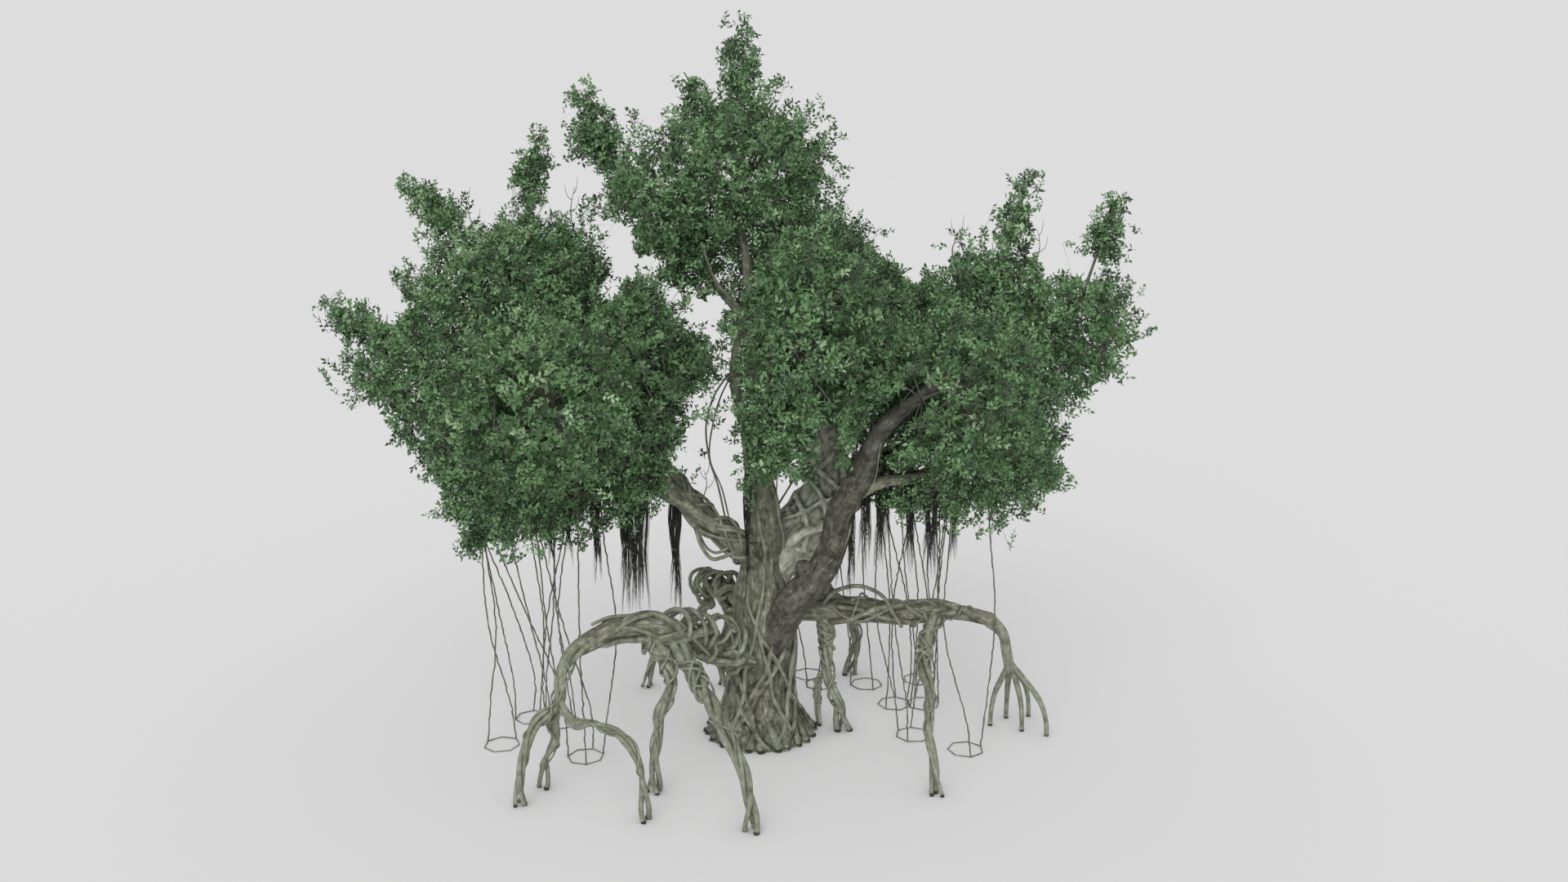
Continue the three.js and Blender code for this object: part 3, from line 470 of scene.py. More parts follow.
def node(tree, kind, settings=None, stops=(), **inputs):
    """Adds a shader node. An input is named as its socket is, or by _ and its number, and is a
    value, or a link given as (node, output). stops are a colour ramp's shares and hex colours."""
    made = tree.nodes.new("ShaderNode" + kind)
    for key, value in (settings or {}).items():
        setattr(made, key, value)
    for key, value in inputs.items():
        socket = made.inputs[int(key[1:]) if key[1:].isdigit() else key.replace("_", " ")]
        if isinstance(value, tuple) and isinstance(value[0], bpy.types.Node):
            tree.links.new(value[0].outputs[value[1]], socket)
        else:
            socket.default_value = value
    for _ in stops[2:]:
        made.color_ramp.elements.new(0.5)
    if stops:
        for point, (share, colour) in zip(made.color_ramp.elements, stops):
            point.position = share
            point.color = linear(colour)
    return made


def blank_material(name, roughness, ior=1.5):
    material = bpy.data.materials.new(name)
    material.use_nodes = True
    shader = material.node_tree.nodes["Principled BSDF"]
    shader.inputs["Roughness"].default_value = roughness
    shader.inputs["IOR"].default_value = ior
    return material, material.node_tree, shader


BLOTCH = 160 * MM  # where bark has flaked, a palm wide
LICHEN_PATCH = 340 * MM
FIBRE_STRETCH = 0.14  # a fibre's width over its length
LEAF_MOTTLE = 120 * MM


def bark_material(name, stops, lichen, lichen_share, fibre, depth, spread=0.34, rear=1.0):
    """Living bark: rough corky skin whose fibres run along the wood, with painted shade that darkens
    it in creases and hollows. rear is how bright it is painted on the side turned to the tree's rear;
    below 1 it is painted shade on that side."""
    material, tree, shader = blank_material(name, 0.85)
    grain = node(tree, "Attribute", {"attribute_name": "grain"})
    place = node(tree, "TexCoord")
    stretched = node(tree, "Mapping", Vector=(grain, "Vector"), Scale=(1, 1, FIBRE_STRETCH))
    streaks = node(tree, "TexNoise", Vector=(stretched, "Vector"), Scale=1 / fibre, Detail=5.0,
                   Roughness=0.65)
    blotches = node(tree, "TexNoise", Vector=(place, "Object"), Scale=1 / BLOTCH, Detail=4.0,
                    Roughness=0.6)
    mixed = node(tree, "Math", {"operation": "MULTIPLY_ADD"}, _0=(streaks, "Fac"), _1=0.9,
                 _2=(blotches, "Fac"))
    evened = node(tree, "MapRange", Value=(mixed, "Value"), From_Min=0.95 - spread,
                  From_Max=0.95 + spread)
    skin = node(tree, "ValToRGB", stops=stops, Fac=(evened, "Result"))
    patches = node(tree, "TexNoise", Vector=(place, "Object"), Scale=1 / LICHEN_PATCH, Detail=6.0,
                   Roughness=0.7)
    growth = node(tree, "MapRange", Value=(patches, "Fac"), From_Min=0.5, From_Max=0.68,
                  To_Max=lichen_share)
    mossy = node(tree, "Mix", {"data_type": "RGBA"}, Factor=(growth, "Result"), _6=(skin, "Color"),
                 _7=linear(lichen))
    shape = node(tree, "NewGeometry")
    # Painted shade: darker where the mesh is hollow, in creases and between strands, read from its
    # pointiness.
    painted_crease_shade = node(tree, "MapRange", Value=(shape, "Pointiness"), From_Min=0.44, From_Max=0.53,
                  To_Min=0.16, To_Max=1.15)
    # Painted shade: the side turned to the tree's rear is darkened, to rear times its colour.
    facing = node(tree, "SeparateXYZ", Vector=(shape, "Normal"))
    painted_rear_shade = node(tree, "MapRange", Value=(facing, "Y"), From_Min=-0.2, From_Max=0.6,
                    To_Min=1.0, To_Max=rear)
    painted_shade = node(tree, "Math", {"operation": "MULTIPLY"}, _0=(painted_crease_shade, "Result"),
                  _1=(painted_rear_shade, "Result"))
    shaded = node(tree, "Mix", {"data_type": "RGBA", "blend_type": "MULTIPLY"}, Factor=1.0,
                  _6=(mossy, 2), _7=(painted_shade, "Value"))
    tree.links.new(shaded.outputs[2], shader.inputs["Base Color"])
    fine = node(tree, "TexNoise", Vector=(stretched, "Vector"), Scale=2.2 / fibre, Detail=4.0)
    bump = node(tree, "Bump", Strength=0.9, Distance=depth, Height=(fine, "Fac"))
    wider = node(tree, "Bump", Strength=0.8, Distance=depth * 3, Height=(streaks, "Fac"),
                 Normal=(bump, "Normal"))
    tree.links.new(wider.outputs["Normal"], shader.inputs["Normal"])
    return material


# Banyan bark: smooth grey skin that has weathered, with fibres about 45 mm apart along the wood
# and pale green lichen in patches a foot wide.
BARK_TINTS = [(0.0, "#2d2c25"), (0.3, "#5a5a4c"), (0.6, "#7e7f6e"), (1.0, "#bcbdac")]
bark = bark_material("weathered banyan bark", BARK_TINTS, "#8b9682", 0.6, 45 * MM, 8 * MM)
# The oldest bough has thicker, darker bark with little lichen.
OLD_TINTS = [(0.0, "#1c1b16"), (0.35, "#3f3e34"), (0.7, "#605f55"), (1.0, "#94948a")]
old_bark = bark_material("old dark bark", OLD_TINTS, "#868a7c", 0.45, 35 * MM, 8 * MM)
# The rear bough's bark is pale, painted light that offsets the shade it sits in among the boughs, and
# has painted shade on the side turned to the tree's rear.
PALE_TINTS = [(0.0, "#545348"), (0.3, "#9c9d8d"), (0.6, "#c8cab8"), (1.0, "#eceede")]
painted_light_bark = bark_material("pale bark with painted light", PALE_TINTS, "#b9c2b0", 0.5, 45 * MM, 8 * MM, rear=0.42)
# Prop roots: the same bark, younger and greener, with finer fibres.
PROP_TINTS = [(0.0, "#313128"), (0.3, "#5f6153"), (0.6, "#838675"), (1.0, "#b3b6a5")]
root_bark = bark_material("young root bark", PROP_TINTS, "#919c88", 0.4, 30 * MM, 5 * MM, 0.5)
# Aerial roots: dry brown skin with hardly any pattern at their width.
THIN_TINTS = [(0.0, "#403f37"), (0.5, "#605f55"), (1.0, "#87867b")]
thin_bark = bark_material("dry aerial root bark", THIN_TINTS, "#6f7a69", 0.3, 20 * MM, 2 * MM)
# Fine root hair, wet and near black, and the same near-black colour on the foot of each root, from a
# few centimetres up down to the ground.
DARK_TINTS = [(0.0, "#161715"), (0.5, "#2a2c26"), (1.0, "#54564c")]
root_hair = bark_material("black root hair", DARK_TINTS, "#2b3029", 0.2, 20 * MM, 2 * MM)


def leaf_material(name, colour, paler):
    """Fig leaf: leathery, with a waxy skin that keeps a soft gloss, mottled by a hand's width."""
    material, tree, shader = blank_material(name, 0.5, 1.45)
    place = node(tree, "TexCoord")
    mottle = node(tree, "TexNoise", Vector=(place, "Object"), Scale=1 / LEAF_MOTTLE, Detail=3.0)
    skin = node(tree, "ValToRGB", stops=[(0.3, colour), (0.7, paler)], Fac=(mottle, "Fac"))
    tree.links.new(skin.outputs["Color"], shader.inputs["Base Color"])
    return material


# Leaf tints, from nearly black to pale, dealt out partly as painted shade and painted light and partly
# by chance: two hues, and the share of all sprays, counted from the darkest, at which the tint ends.
LEAF_TINTS = {
    "night": ("#364732", "#43573c", 0.08),
    "deep": ("#4e6a47", "#597850", 0.3),
    "green": ("#5b7d52", "#678a5d", 0.58),
    "mid": ("#66895c", "#739767", 0.82),
    "fresh": ("#76986a", "#87a87a", 0.96),
    "pale": ("#93ad85", "#a6bd97", 1.01),
}
leaf_skin = {tint: leaf_material(f"fig leaf {tint}", *row[:2]) for tint, row in LEAF_TINTS.items()}


# ---- Wood: every limb's line first, so that strands and leaves can follow or avoid it ----
def trunk_middle(height):
    return FORK_LEAN * height / FORK_HEIGHT


def trunk_radius(height):
    fall = np.clip(1 - height / WAIST_HEIGHT, 0, None)
    shoulder = SWELL * np.sin(math.pi * np.clip(height, 0, FORK_HEIGHT) / FORK_HEIGHT)
    closing = np.interp(height, *CLOSING)
    return (WAIST_RADIUS + (FLARE_RADIUS - WAIST_RADIUS) * fall**2 + shoulder) * closing


limbs = {"trunk": Limb(metres(LEADER_LINE), LEADER_RADII)}
for name, (start, radii, through) in {**BOUGHS, **LIMBS, **LOW_LIMBS, **PROPS}.items():
    foot = limbs[start[0]].curve_place(start[1]) if isinstance(start[0], str) else metres(start)
    limbs[name] = Limb(np.vstack([foot, metres(through)]), metres(radii))
limbs["leader_branch"] = Limb(metres(LEADER_BRANCH), (0.05, 0.018))
claw_top = limbs["low_limb_right"].curve_place(0.985)
limbs["prop_right_claw"] = Limb(np.vstack([claw_top, metres(CLAW_LINE)]), (0.15, 0.105))

# The lower trunk as a limb: shares of it are heights, and angles are bearings from +X.
bole = Limb([(0, 0, 0), (trunk_middle(TRUNK_TOP), 0, TRUNK_TOP)], (1, 1), step=0.04)
bole.radius = trunk_radius(bole.line[:, 2])

DIVE = 0.07  # the share of a strand's length in which each end dives into the wood


def wound(host, first, last, angle, turns, radius, sunk=0.3, sway=0.1, lift=0.0, phase=0.0):
    """A strand's path round a limb, from one share of it to another. sunk is how deep it lies, as a
    share of its own thickness, and lift how far its middle stands off. sway and phase set how it
    wanders from side to side."""
    reach = abs(last - first) * len(host.line) * STEP + abs(turns) * TURN * host.radius.mean()
    t = np.linspace(0, 1, max(10, round(reach / STEP)))
    wobble = sway * (np.sin(TURN * (1.3 * t + phase)) + 0.5 * np.sin(TURN * (3.1 * t + 2 * phase)))
    share = first + (last - first) * t
    dive = np.clip(1 - np.minimum(t, 1 - t) / DIVE, 0, 1) ** 2
    out = host.radius_at(share) + radius * (1 - 2 * sunk - 1.8 * dive)
    out += lift * np.sin(math.pi * t) ** 2
    return host.off(share, angle + TURN * turns * t + wobble, out)


def fibres(depth, across=0.05, along=0.35):
    """Relief like fibres that run along a strand, depth as a share of its radius."""
    size = np.array([across, across, along])
    return lambda grain: depth * (noise(grain, size) + 0.5 * noise(grain, size / 2, 3))


STRAND_FIBRES = fibres(0.12)
CREEPER_FIBRES = fibres(0.1)
LEG_FIBRES = fibres(0.12, 0.04, 0.3)
LIMB_FIBRES = fibres(0.08, 0.08, 0.4)
ROOT_FIBRES = fibres(0.3, 0.03, 0.06)


def fused(stock, voxel):
    """One skin over all the stock's tubes, cut flat at the ground, with the grain carried over."""
    verts, faces, _ = stock.arrays()
    rough = put_in_scene("rough", mesh_from("rough", verts, faces))
    melt = rough.modifiers.new("melt", "REMESH")
    melt.mode = "VOXEL"
    melt.voxel_size = voxel
    settle = rough.modifiers.new("settle", "SMOOTH")
    settle.factor = 0.5
    settle.iterations = 1
    shown = rough.evaluated_get(bpy.context.evaluated_depsgraph_get())
    melted = bpy.data.meshes.new_from_object(shown)
    bpy.data.objects.remove(rough)
    work = bmesh.new()
    work.from_mesh(melted)
    everything = work.verts[:] + work.edges[:] + work.faces[:]
    cut = bmesh.ops.bisect_plane(work, geom=everything, plane_co=(0, 0, 0), plane_no=(0, 0, 1),
                                 clear_inner=True)
    rims = [e for e in cut["geom_cut"] if isinstance(e, bmesh.types.BMEdge)]
    if rims:
        bmesh.ops.triangle_fill(work, edges=rims, use_beauty=True)
    bmesh.ops.triangulate(work, faces=work.faces[:])
    work.normal_update()
    verts = np.array([v.co for v in work.verts])
    normals = np.array([v.normal for v in work.verts])
    faces = np.array([[v.index for v in f.verts] for f in work.faces])
    work.free()
    source = np.vstack(stock.verts)
    ring_of = np.concatenate(stock.ring_of)
    rings = np.vstack(stock.rings)
    tree = kdtree.KDTree(len(source))
    for i, place in enumerate(source):
        tree.insert(place, i)
    tree.balance()
    nearest = ring_of[[tree.find(v)[1] for v in verts]]
    centre, across, beside, heading = (rings[nearest, k:k + 3] for k in (0, 3, 6, 9))
    offset = verts - centre
    grain = np.column_stack([
        (offset * across).sum(1),
        (offset * beside).sum(1),
        (offset * heading).sum(1) + rings[nearest, 12],
    ])
    return verts, faces, normals, grain


TRUNK_VOXEL = 0.032
REAR_VOXEL = 0.038
BARK_RELIEF = 0.011
FOOT_BAND = 0.01  # this near the ground the skin isn't moved, so that the cut stays flat


def show_fused(name, stock, voxel, material, replaced):
    """Shows the stock as one skin, pushed in and out by bark: long ribs, short ones across them,
    and broad lumps."""
    verts, faces, normals, grain = fused(stock, voxel)
    push = BARK_RELIEF * noise(grain, (0.08, 0.08, 0.5), 1)
    push += 0.6 * BARK_RELIEF * noise(grain, (0.04, 0.04, 0.22), 2)
    push += 1.2 * BARK_RELIEF * noise(verts, 0.28, 3)
    moved = verts + normals * push[:, None]
    moved[:, 2] = np.where(verts[:, 2] < FOOT_BAND, verts[:, 2], np.maximum(moved[:, 2], 0))
    show(name, mesh_from(name, moved, faces, grain), material, replaced)


trunk_stock = Stock()
rear_stock = Stock()
strands = Stock()  # creeping strands that lie on the bark, each with its own round skin
foot_ends = Stock()


def add_foot_end(foot, rise, radius, sides=10):
    """The dark end of a root, from its foot down to the ground."""
    ring = np.array([foot + UP * rise, foot + UP * 0.02, foot * ON_GROUND])
    foot_ends.add_tube(ring, radius, sides, dome=False, lowest=0)


# The trunk's core, and the leader that runs up through the crown. The core and the roots on it
# start below the ground, where fused cuts them flat.
CORE_FOOT = -0.16
TOE_FOOT = -0.12
BARK_THICKNESS = 0.03  # the strands and ribs that lie on the core
heights = np.arange(CORE_FOOT, TRUNK_TOP, STEP)
core = np.column_stack([trunk_middle(heights), 0 * heights, heights])
core_radius = trunk_radius(heights) - BARK_THICKNESS
trunk_stock.add_tube(core, core_radius, 96, fibres(0.05, 0.3, 1.1), dome=False)
leader = limbs["trunk"]
trunk_stock.add_tube(leader.line, leader.radius, 20, fibres(0.07, 0.15, 0.7))

# Roots that flow down the trunk and end in toes round its flared foot. Every fourth starts high up.
TOES = 24
TOE_RADIUS = 0.08
TALL_TOE = (1.5, 3.0)
SHORT_TOE = (0.4, 0.85)
TOE_RISE = 0.45  # the height below which a toe stands out of the trunk
HEEL_PROUD = 0.012  # how far a toe's dark end stands out of the bark
for i in range(TOES):
    top = random.uniform(*(SHORT_TOE if i % 4 else TALL_TOE))
    bearing = i * TURN / TOES + random.uniform(-0.05, 0.05)
    drift = random.uniform(-0.5, 0.5) * (top - 0.9)
    z = np.linspace(top, TOE_FOOT, 40)
    fall = np.clip(z / top, 0, 1)
    wobble = 0.05 * np.sin(TURN * (z / 0.9 + random.random()))
    radius = TOE_RADIUS * (1 - 0.45 * fall) * random.uniform(0.85, 1.15)
    angle = bearing + drift * fall**1.5 + wobble
    proud = np.clip(1 - z / TOE_RISE, 0, 1) - 0.5 - 1.4 * np.clip((fall - 0.8) / 0.2, 0, 1)
    out = trunk_radius(z) - 0.05 + radius * proud
    path = np.column_stack([trunk_middle(z) + out * np.cos(angle), out * np.sin(angle), z])
    trunk_stock.add_tube(path, radius, 10, CREEPER_FIBRES, dome=False)
    foot = path[np.searchsorted(-z, 0) - 1]
    heel = foot + np.array([math.cos(bearing), math.sin(bearing), 0]) * HEEL_PROUD
    add_foot_end(heel, 0.045, radius[-1] * 0.97)

# Strands that cross the trunk both ways over those roots: long ones that lie on the bark, and a
# lattice of short thick ones round the foot that has grown into it. Each row gives the heights of
# their upper and lower ends, their turns and radii, and how deep they lie.
CROSSING = (strands, (2.2, 3.7), (0.0, 1.0), (0.12, 0.24), (0.034, 0.05), 0.2)
LATTICE = (trunk_stock, (1.3, 2.6), (0.0, 0.12), (0.2, 0.34), (0.042, 0.056), 0.36)
for i, (home, highs, lows, turns, radii, sunk) in enumerate([CROSSING] * 9 + [LATTICE] * 10):
    high = random.uniform(*highs) / TRUNK_TOP
    low = random.uniform(*lows) / TRUNK_TOP
    way = random.uniform(*turns) * (1 if i % 2 else -1)
    radius = random.uniform(*radii)
    path = wound(bole, high, low, i * GOLDEN_TURN, way, radius, sunk, 0.05, 0, random.random())
    home.add_tube(path, radius * np.linspace(0.8, 1.1, len(path)), 8, STRAND_FIBRES, lowest=0)


def wrap(stock, name, first, last, count, thickness, turns, sunk=0.3, sides=6):
    """So many strands wound round one limb, alternately this way and that."""
    for i in range(count):
        radius = random.uniform(*thickness)
        begin = random.uniform(first, first + (last - first) * 0.3)
        end = random.uniform(last - (last - first) * 0.3, last)
        way = random.uniform(*turns) * (1 if i % 2 else -1)
        path = wound(limbs[name], begin, end, i * GOLDEN_TURN, way, radius, sunk, 0.12, 0,
                     random.random())
        stock.add_tube(path, radius * np.linspace(1, 0.75, len(path)), sides, CREEPER_FIBRES)


def loops(name, first, last, count, thickness, lift, sweep=(0.2, 0.6), run=(0.07, 0.2)):
    """Loops of vine that leave a limb and come back to it."""
    for i in range(count):
        radius = random.uniform(*thickness)
        begin = random.uniform(first, last)
        end = begin + random.uniform(*run) * random.choice([-1, 1])
        turns = random.uniform(*sweep) * (1 if i % 2 else -1)
        rise = random.uniform(*lift)
        path = wound(limbs[name], begin, end, random.uniform(0, TURN), turns, radius, 0.3, 0.2, rise,
                     random.random())
        strands.add_tube(path, radius, 6, CREEPER_FIBRES)


def vine(points, radii, stock=strands, sides=7):
    """A free strand through its points, in metres."""
    path = smooth_line(points)
    stock.add_tube(path, spread_radii(radii, len(path)), sides, STRAND_FIBRES)


# Boughs and low limbs: a core, mostly a little slimmer than the limb, and thick strands fused to
# it. Each row is the core's share of the radius, then the strands' count, radii and turns.
FUSED_WRAPS = {
    "bough_left": (0.92, 5, (0.06, 0.1), (0.5, 1.1)),
    "bough_right_rear": (0.98, 4, (0.08, 0.13), (0.2, 0.5)),
    "low_limb_left": (0.92, 5, (0.06, 0.1), (0.4, 1.2)),
    "low_limb_right": (0.92, 5, (0.05, 0.08), (0.3, 0.9)),
    "low_limb_rear_left": (0.58, 4, (0.05, 0.08), (0.4, 1.0)),
    "low_limb_rear_right": (0.92, 4, (0.05, 0.08), (0.3, 0.8)),
}
for name, (core_share, count, thickness, turns) in FUSED_WRAPS.items():
    home = rear_stock if name == "bough_right_rear" else trunk_stock
    home.add_tube(limbs[name].line, limbs[name].radius * core_share, 28, fibres(0.12, 0.22, 0.5))
    wrap(home, name, 0.02, 0.98, count, thickness, turns, 0.45, sides=12)
wrap(rear_stock, "bough_right_rear", 0.03, 0.8, 7, (0.036, 0.056), (0.5, 1.2), 0.36)
darker_wood = sorted({"trunk", *FUSED_WRAPS} - {"bough_right_rear"})
show_fused("trunk_and_boughs", trunk_stock, TRUNK_VOXEL, bark, darker_wood)
show_fused("rear_bough", rear_stock, REAR_VOXEL, painted_light_bark, ["bough_right_rear"])


# The old bough in front has a smooth thick skin with growth rings and folds where it bends.
RING_SPACING = 0.055


def ringed(grain):
    rings = 0.012 * np.sin(TURN * grain[:, 2] / RING_SPACING + 2 * noise(grain, 0.3))
    folds = 0.09 * noise(grain, (0.16, 0.16, 0.9)) + 0.05 * noise(grain, (0.07, 0.07, 0.3), 4)
    return rings + folds


old = limbs["bough_right_front"]
old_stock = Stock()
old_line, old_radius = old.redrawn(0.028)
old_stock.add_tube(old_line, old_radius * 0.97, 40, ringed)
# Lumps on it: how far along, at what angle round it, and how large.
for share, angle, size in [(0.44, 2.2, 0.16), (0.55, 4.4, 0.13), (0.63, 1.2, 0.12), (0.3, 0.6, 0.15)]:
    lump = wound(old, share - 0.03, share + 0.03, angle, 0.05, size, 0.45)
    old_stock.add_tube(lump, size * np.sin(np.linspace(0.5, 2.64, len(lump))), 14, fibres(0.08))
side_branch = [(1.9, -1.45, 5.5), (2.3, -1.45, 5.63), (2.7, -1.38, 5.66), (3.1, -1.3, 5.71)]
vine(side_branch, (0.05, 0.022), old_stock)
limbs["side_branch"] = Limb(side_branch, (0.05, 0.022))
show_stock("old_bough", old_stock, old_bark, ["bough_right_front"])

# The limbs inside the crown, mostly hidden by leaves.
inner = Stock()
for name in LIMBS:
    inner.add_tube(*limbs[name].redrawn(0.09), 9, LIMB_FIBRES)
inner.add_tube(limbs["leader_branch"].line, limbs["leader_branch"].radius, 9, LIMB_FIBRES)
show_stock("crown_limbs", inner, bark, list(LIMBS))

# Strands on the boughs and low limbs: from and to which share of the limb, how many, their radii,
# their turns and how deep they lie.
for row in (
    ("bough_left", 0.0, 0.5, 9, (0.03, 0.05), (0.5, 1.3), 0.2),
    ("trunk", 0.0, 0.45, 4, (0.03, 0.045), (0.1, 0.3), 0.25),
    ("bough_right_front", 0.3, 0.85, 2, (0.014, 0.022), (0.5, 0.9)),
    ("low_limb_left", 0.0, 1.0, 5, (0.04, 0.06), (0.6, 1.5), 0.25),
    ("low_limb_right", 0.1, 1.0, 4, (0.03, 0.045), (0.7, 1.5), 0.25),
    ("low_limb_rear_left", 0.1, 1.0, 5, (0.034, 0.05), (0.5, 1.5)),
    ("low_limb_rear_right", 0.1, 1.0, 4, (0.025, 0.04), (0.5, 1.2)),
):
    wrap(strands, *row)
loops("low_limb_left", 0.06, 0.62, 18, (0.036, 0.054), (0.13, 0.34))
loops("low_limb_right", 0.05, 0.9, 6, (0.018, 0.03), (0.05, 0.14))
loops("low_limb_rear_left", 0.45, 0.92, 7, (0.034, 0.048), (0.12, 0.3), (0.25, 0.6), (0.1, 0.3))
loops("bough_right_rear", 0.5, 0.7, 2, (0.03, 0.04), (0.15, 0.3))
# Two vines sag under the left bough, one arches over the right-hand limb, one lies on the left-hand
# limb, and one stands off the rear bough in a loop.
vine([(-1.25, -0.4, 4.35), (-1.12, -0.5, 4.0), (-0.92, -0.5, 3.78), (-0.7, -0.5, 3.82),
      (-0.5, -0.45, 3.9)], (0.036, 0.04))
vine([(-1.2, -0.35, 4.3), (-1.04, -0.4, 3.98), (-0.86, -0.42, 3.88), (-0.6, -0.4, 3.98)],
     (0.026, 0.03))
vine([(1.2, 0.0, 2.62), (1.49, -0.05, 2.97), (1.96, -0.12, 3.1), (2.41, -0.22, 2.93),
      (2.62, -0.32, 2.6), (2.78, -0.38, 2.36)], (0.045, 0.04))
vine([(-3.02, -2.3, 3.1), (-2.75, -2.15, 3.17), (-2.51, -2.05, 3.17), (-2.1, -1.85, 3.1),
      (-1.9, -1.75, 2.96), (-1.85, -1.85, 2.7)], (0.032, 0.038))
vine([(1.0, 1.05, 5.0), (1.25, 1.0, 5.45), (1.5, 1.0, 5.66), (1.74, 1.05, 5.55),
      (1.66, 1.05, 5.28), (1.42, 1.05, 5.16)], (0.035, 0.032))

# ---- Prop roots: strands twisted round each other that part a little above the ground ----
props = Stock()
TWIST = 0.42  # turns to a metre
PARTING = 1.5  # how far the strands part at the ground
PARTING_HEIGHT = 0.7


def twisted(host, count, share, twist, parting):
    """count strands wound round one line, each of them share of the leg's radius thick."""
    height = host.line[:, 2]
    apart = 1 + parting * np.clip(1 - height / PARTING_HEIGHT, 0, 1) ** 1.5
    along = np.arange(len(host.line)) * STEP
    for k in range(count):
        angle = TURN * (k / count + twist * along + 0.06 * np.sin(3 * along + k)) + 0.7
        offset = host.radius * (1 - share) * apart
        path = host.line + turned(host.across, host.beside, angle) * offset[:, None]
        uneven = 1 + 0.15 * np.sin(2.3 * along + 2 * k)
        radius = host.radius * share * uneven * (1.05 - 0.13 * (k % 3))
        props.add_tube(path, radius, 9, LEG_FIBRES, dome=False, lowest=0)
        if height[-1] < 0.05:
            add_foot_end(path[-1] * ON_GROUND, 0.05, radius[-1] * 1.04)


for name in PROPS:
    count = 2 if name in ("prop_left_rear", "prop_right_near", "prop_left_inner") else 3
    twist = random.choice([-1, 1]) * TWIST
    twisted(limbs[name], count, 0.55 if count == 2 else 0.5, twist, PARTING)
    wrap(props, name, 0.0, 0.9, 2, (0.018, 0.03), (0.8, 2.0), sides=7)
for name in ("prop_right_middle", "prop_right_inner", "prop_left_middle", "prop_left_front"):
    wrap(props, name, 0.0, 0.4, 4, (0.028, 0.042), (1.0, 1.8))
twisted(limbs["prop_right_claw"], 3, 0.6, 0.3, parting=0)
CLAW_TOE_RADII = (0.066, 0.046)
fork = metres(CLAW_FORK)
start = fork + UP * 0.2
for x, y in metres(CLAW_TOES):
    toe = np.array([x, y, 0])
    bend = fork + (toe - fork) * (0.6, 0.6, 0.28)
    above = np.array([x, y, fork[2] * 0.6])
    t = np.linspace(0, 1, 30)[:, None]
    path = start * (1 - t)**3 + 3 * bend * t * (1 - t)**2 + 3 * above * t * t * (1 - t) + toe * t**3
    props.add_tube(path, CLAW_TOE_RADII, 9, LEG_FIBRES, dome=False, lowest=0)
    add_foot_end(toe, 0.04, CLAW_TOE_RADII[1], sides=9)
show_stock("prop_roots", props, root_bark, [*PROPS, "prop_right_claw"])
show_stock("creeping_strands", strands, root_bark)
show_stock("foot_ends", foot_ends, root_hair)


# ---- The crown's masses: rounded where they run into one another, and their plumes ----
BLEND = 7.0  # the larger, the sharper the clefts between two masses
PLUME_LENGTH = 1.75  # half of a plume's length, in its own radii
EGG = 0.14  # how much wider a plume is towards its foot than towards its tip


def depths(places):
    """Each mass's depth at the places: 0 at its middle and 1 where its leaves end."""
    return np.array([
        np.linalg.norm((places - metres(at)) / metres(reach), axis=1)
        for at, reach, _, _ in MASSES.values()
    ])


def egg_of(centre, plume):
    """A plume's middle, the way that it points from its mass or its own foot, and its radius."""
    tip, radius = metres(plume[:3]), plume[3] * MM
    way = unit(tip - metres(plume[4] if len(plume) > 4 else centre))
    return tip - way * radius * PLUME_LENGTH, way, radius


EGGS = {mass: [egg_of(row[0], plume) for plume in row[3]] for mass, row in MASSES.items()}


def depth_in_egg(egg, places):
    """Like depths for one plume, an egg that is widest towards its foot."""
    middle, way, radius = egg
    along = (places - middle) @ way / (PLUME_LENGTH * radius)
    aside = np.linalg.norm(places - middle - ((places - middle) @ way)[:, None] * way, axis=1)
    return np.hypot(along, aside / radius / (1 - EGG * np.clip(along, -1, 1)))


def crown_depth(places):
    """The whole crown's depth: its masses melt into one another, and the plumes stand out of them."""
    melted = -np.log(np.exp(-BLEND * depths(places)).sum(0)) / BLEND
    for egg in itertools.chain(*EGGS.values()):
        melted = np.minimum(melted, depth_in_egg(egg, places))
    return melted


def way_out(places):
    """The shortest way out of the crown from each place."""
    steps = 0.08 * np.eye(3)
    slope = [crown_depth(places + step) - crown_depth(places - step) for step in steps]
    return unit(np.column_stack(slope))


def ways_out(count, turn):
    """count directions, spread evenly round a ball."""
    i = np.arange(count)
    height = 1 - 2 * (i + 0.5) / count
    ring = np.sqrt(1 - height**2)
    bearing = i * GOLDEN_TURN + turn
    return np.column_stack([ring * np.cos(bearing), ring * np.sin(bearing), height])


# ---- Where a spray may grow: clear of wood, out of the openings and gaps, within the solids ----
WOOD_CLEARANCE = 0.05
SPRAY_DEPTH = 0.25  # sprays so little behind a stretch of open wood still cover its edge
FRONT = np.array([0.467, -24.84, 11.34])  # where the tree is looked at from
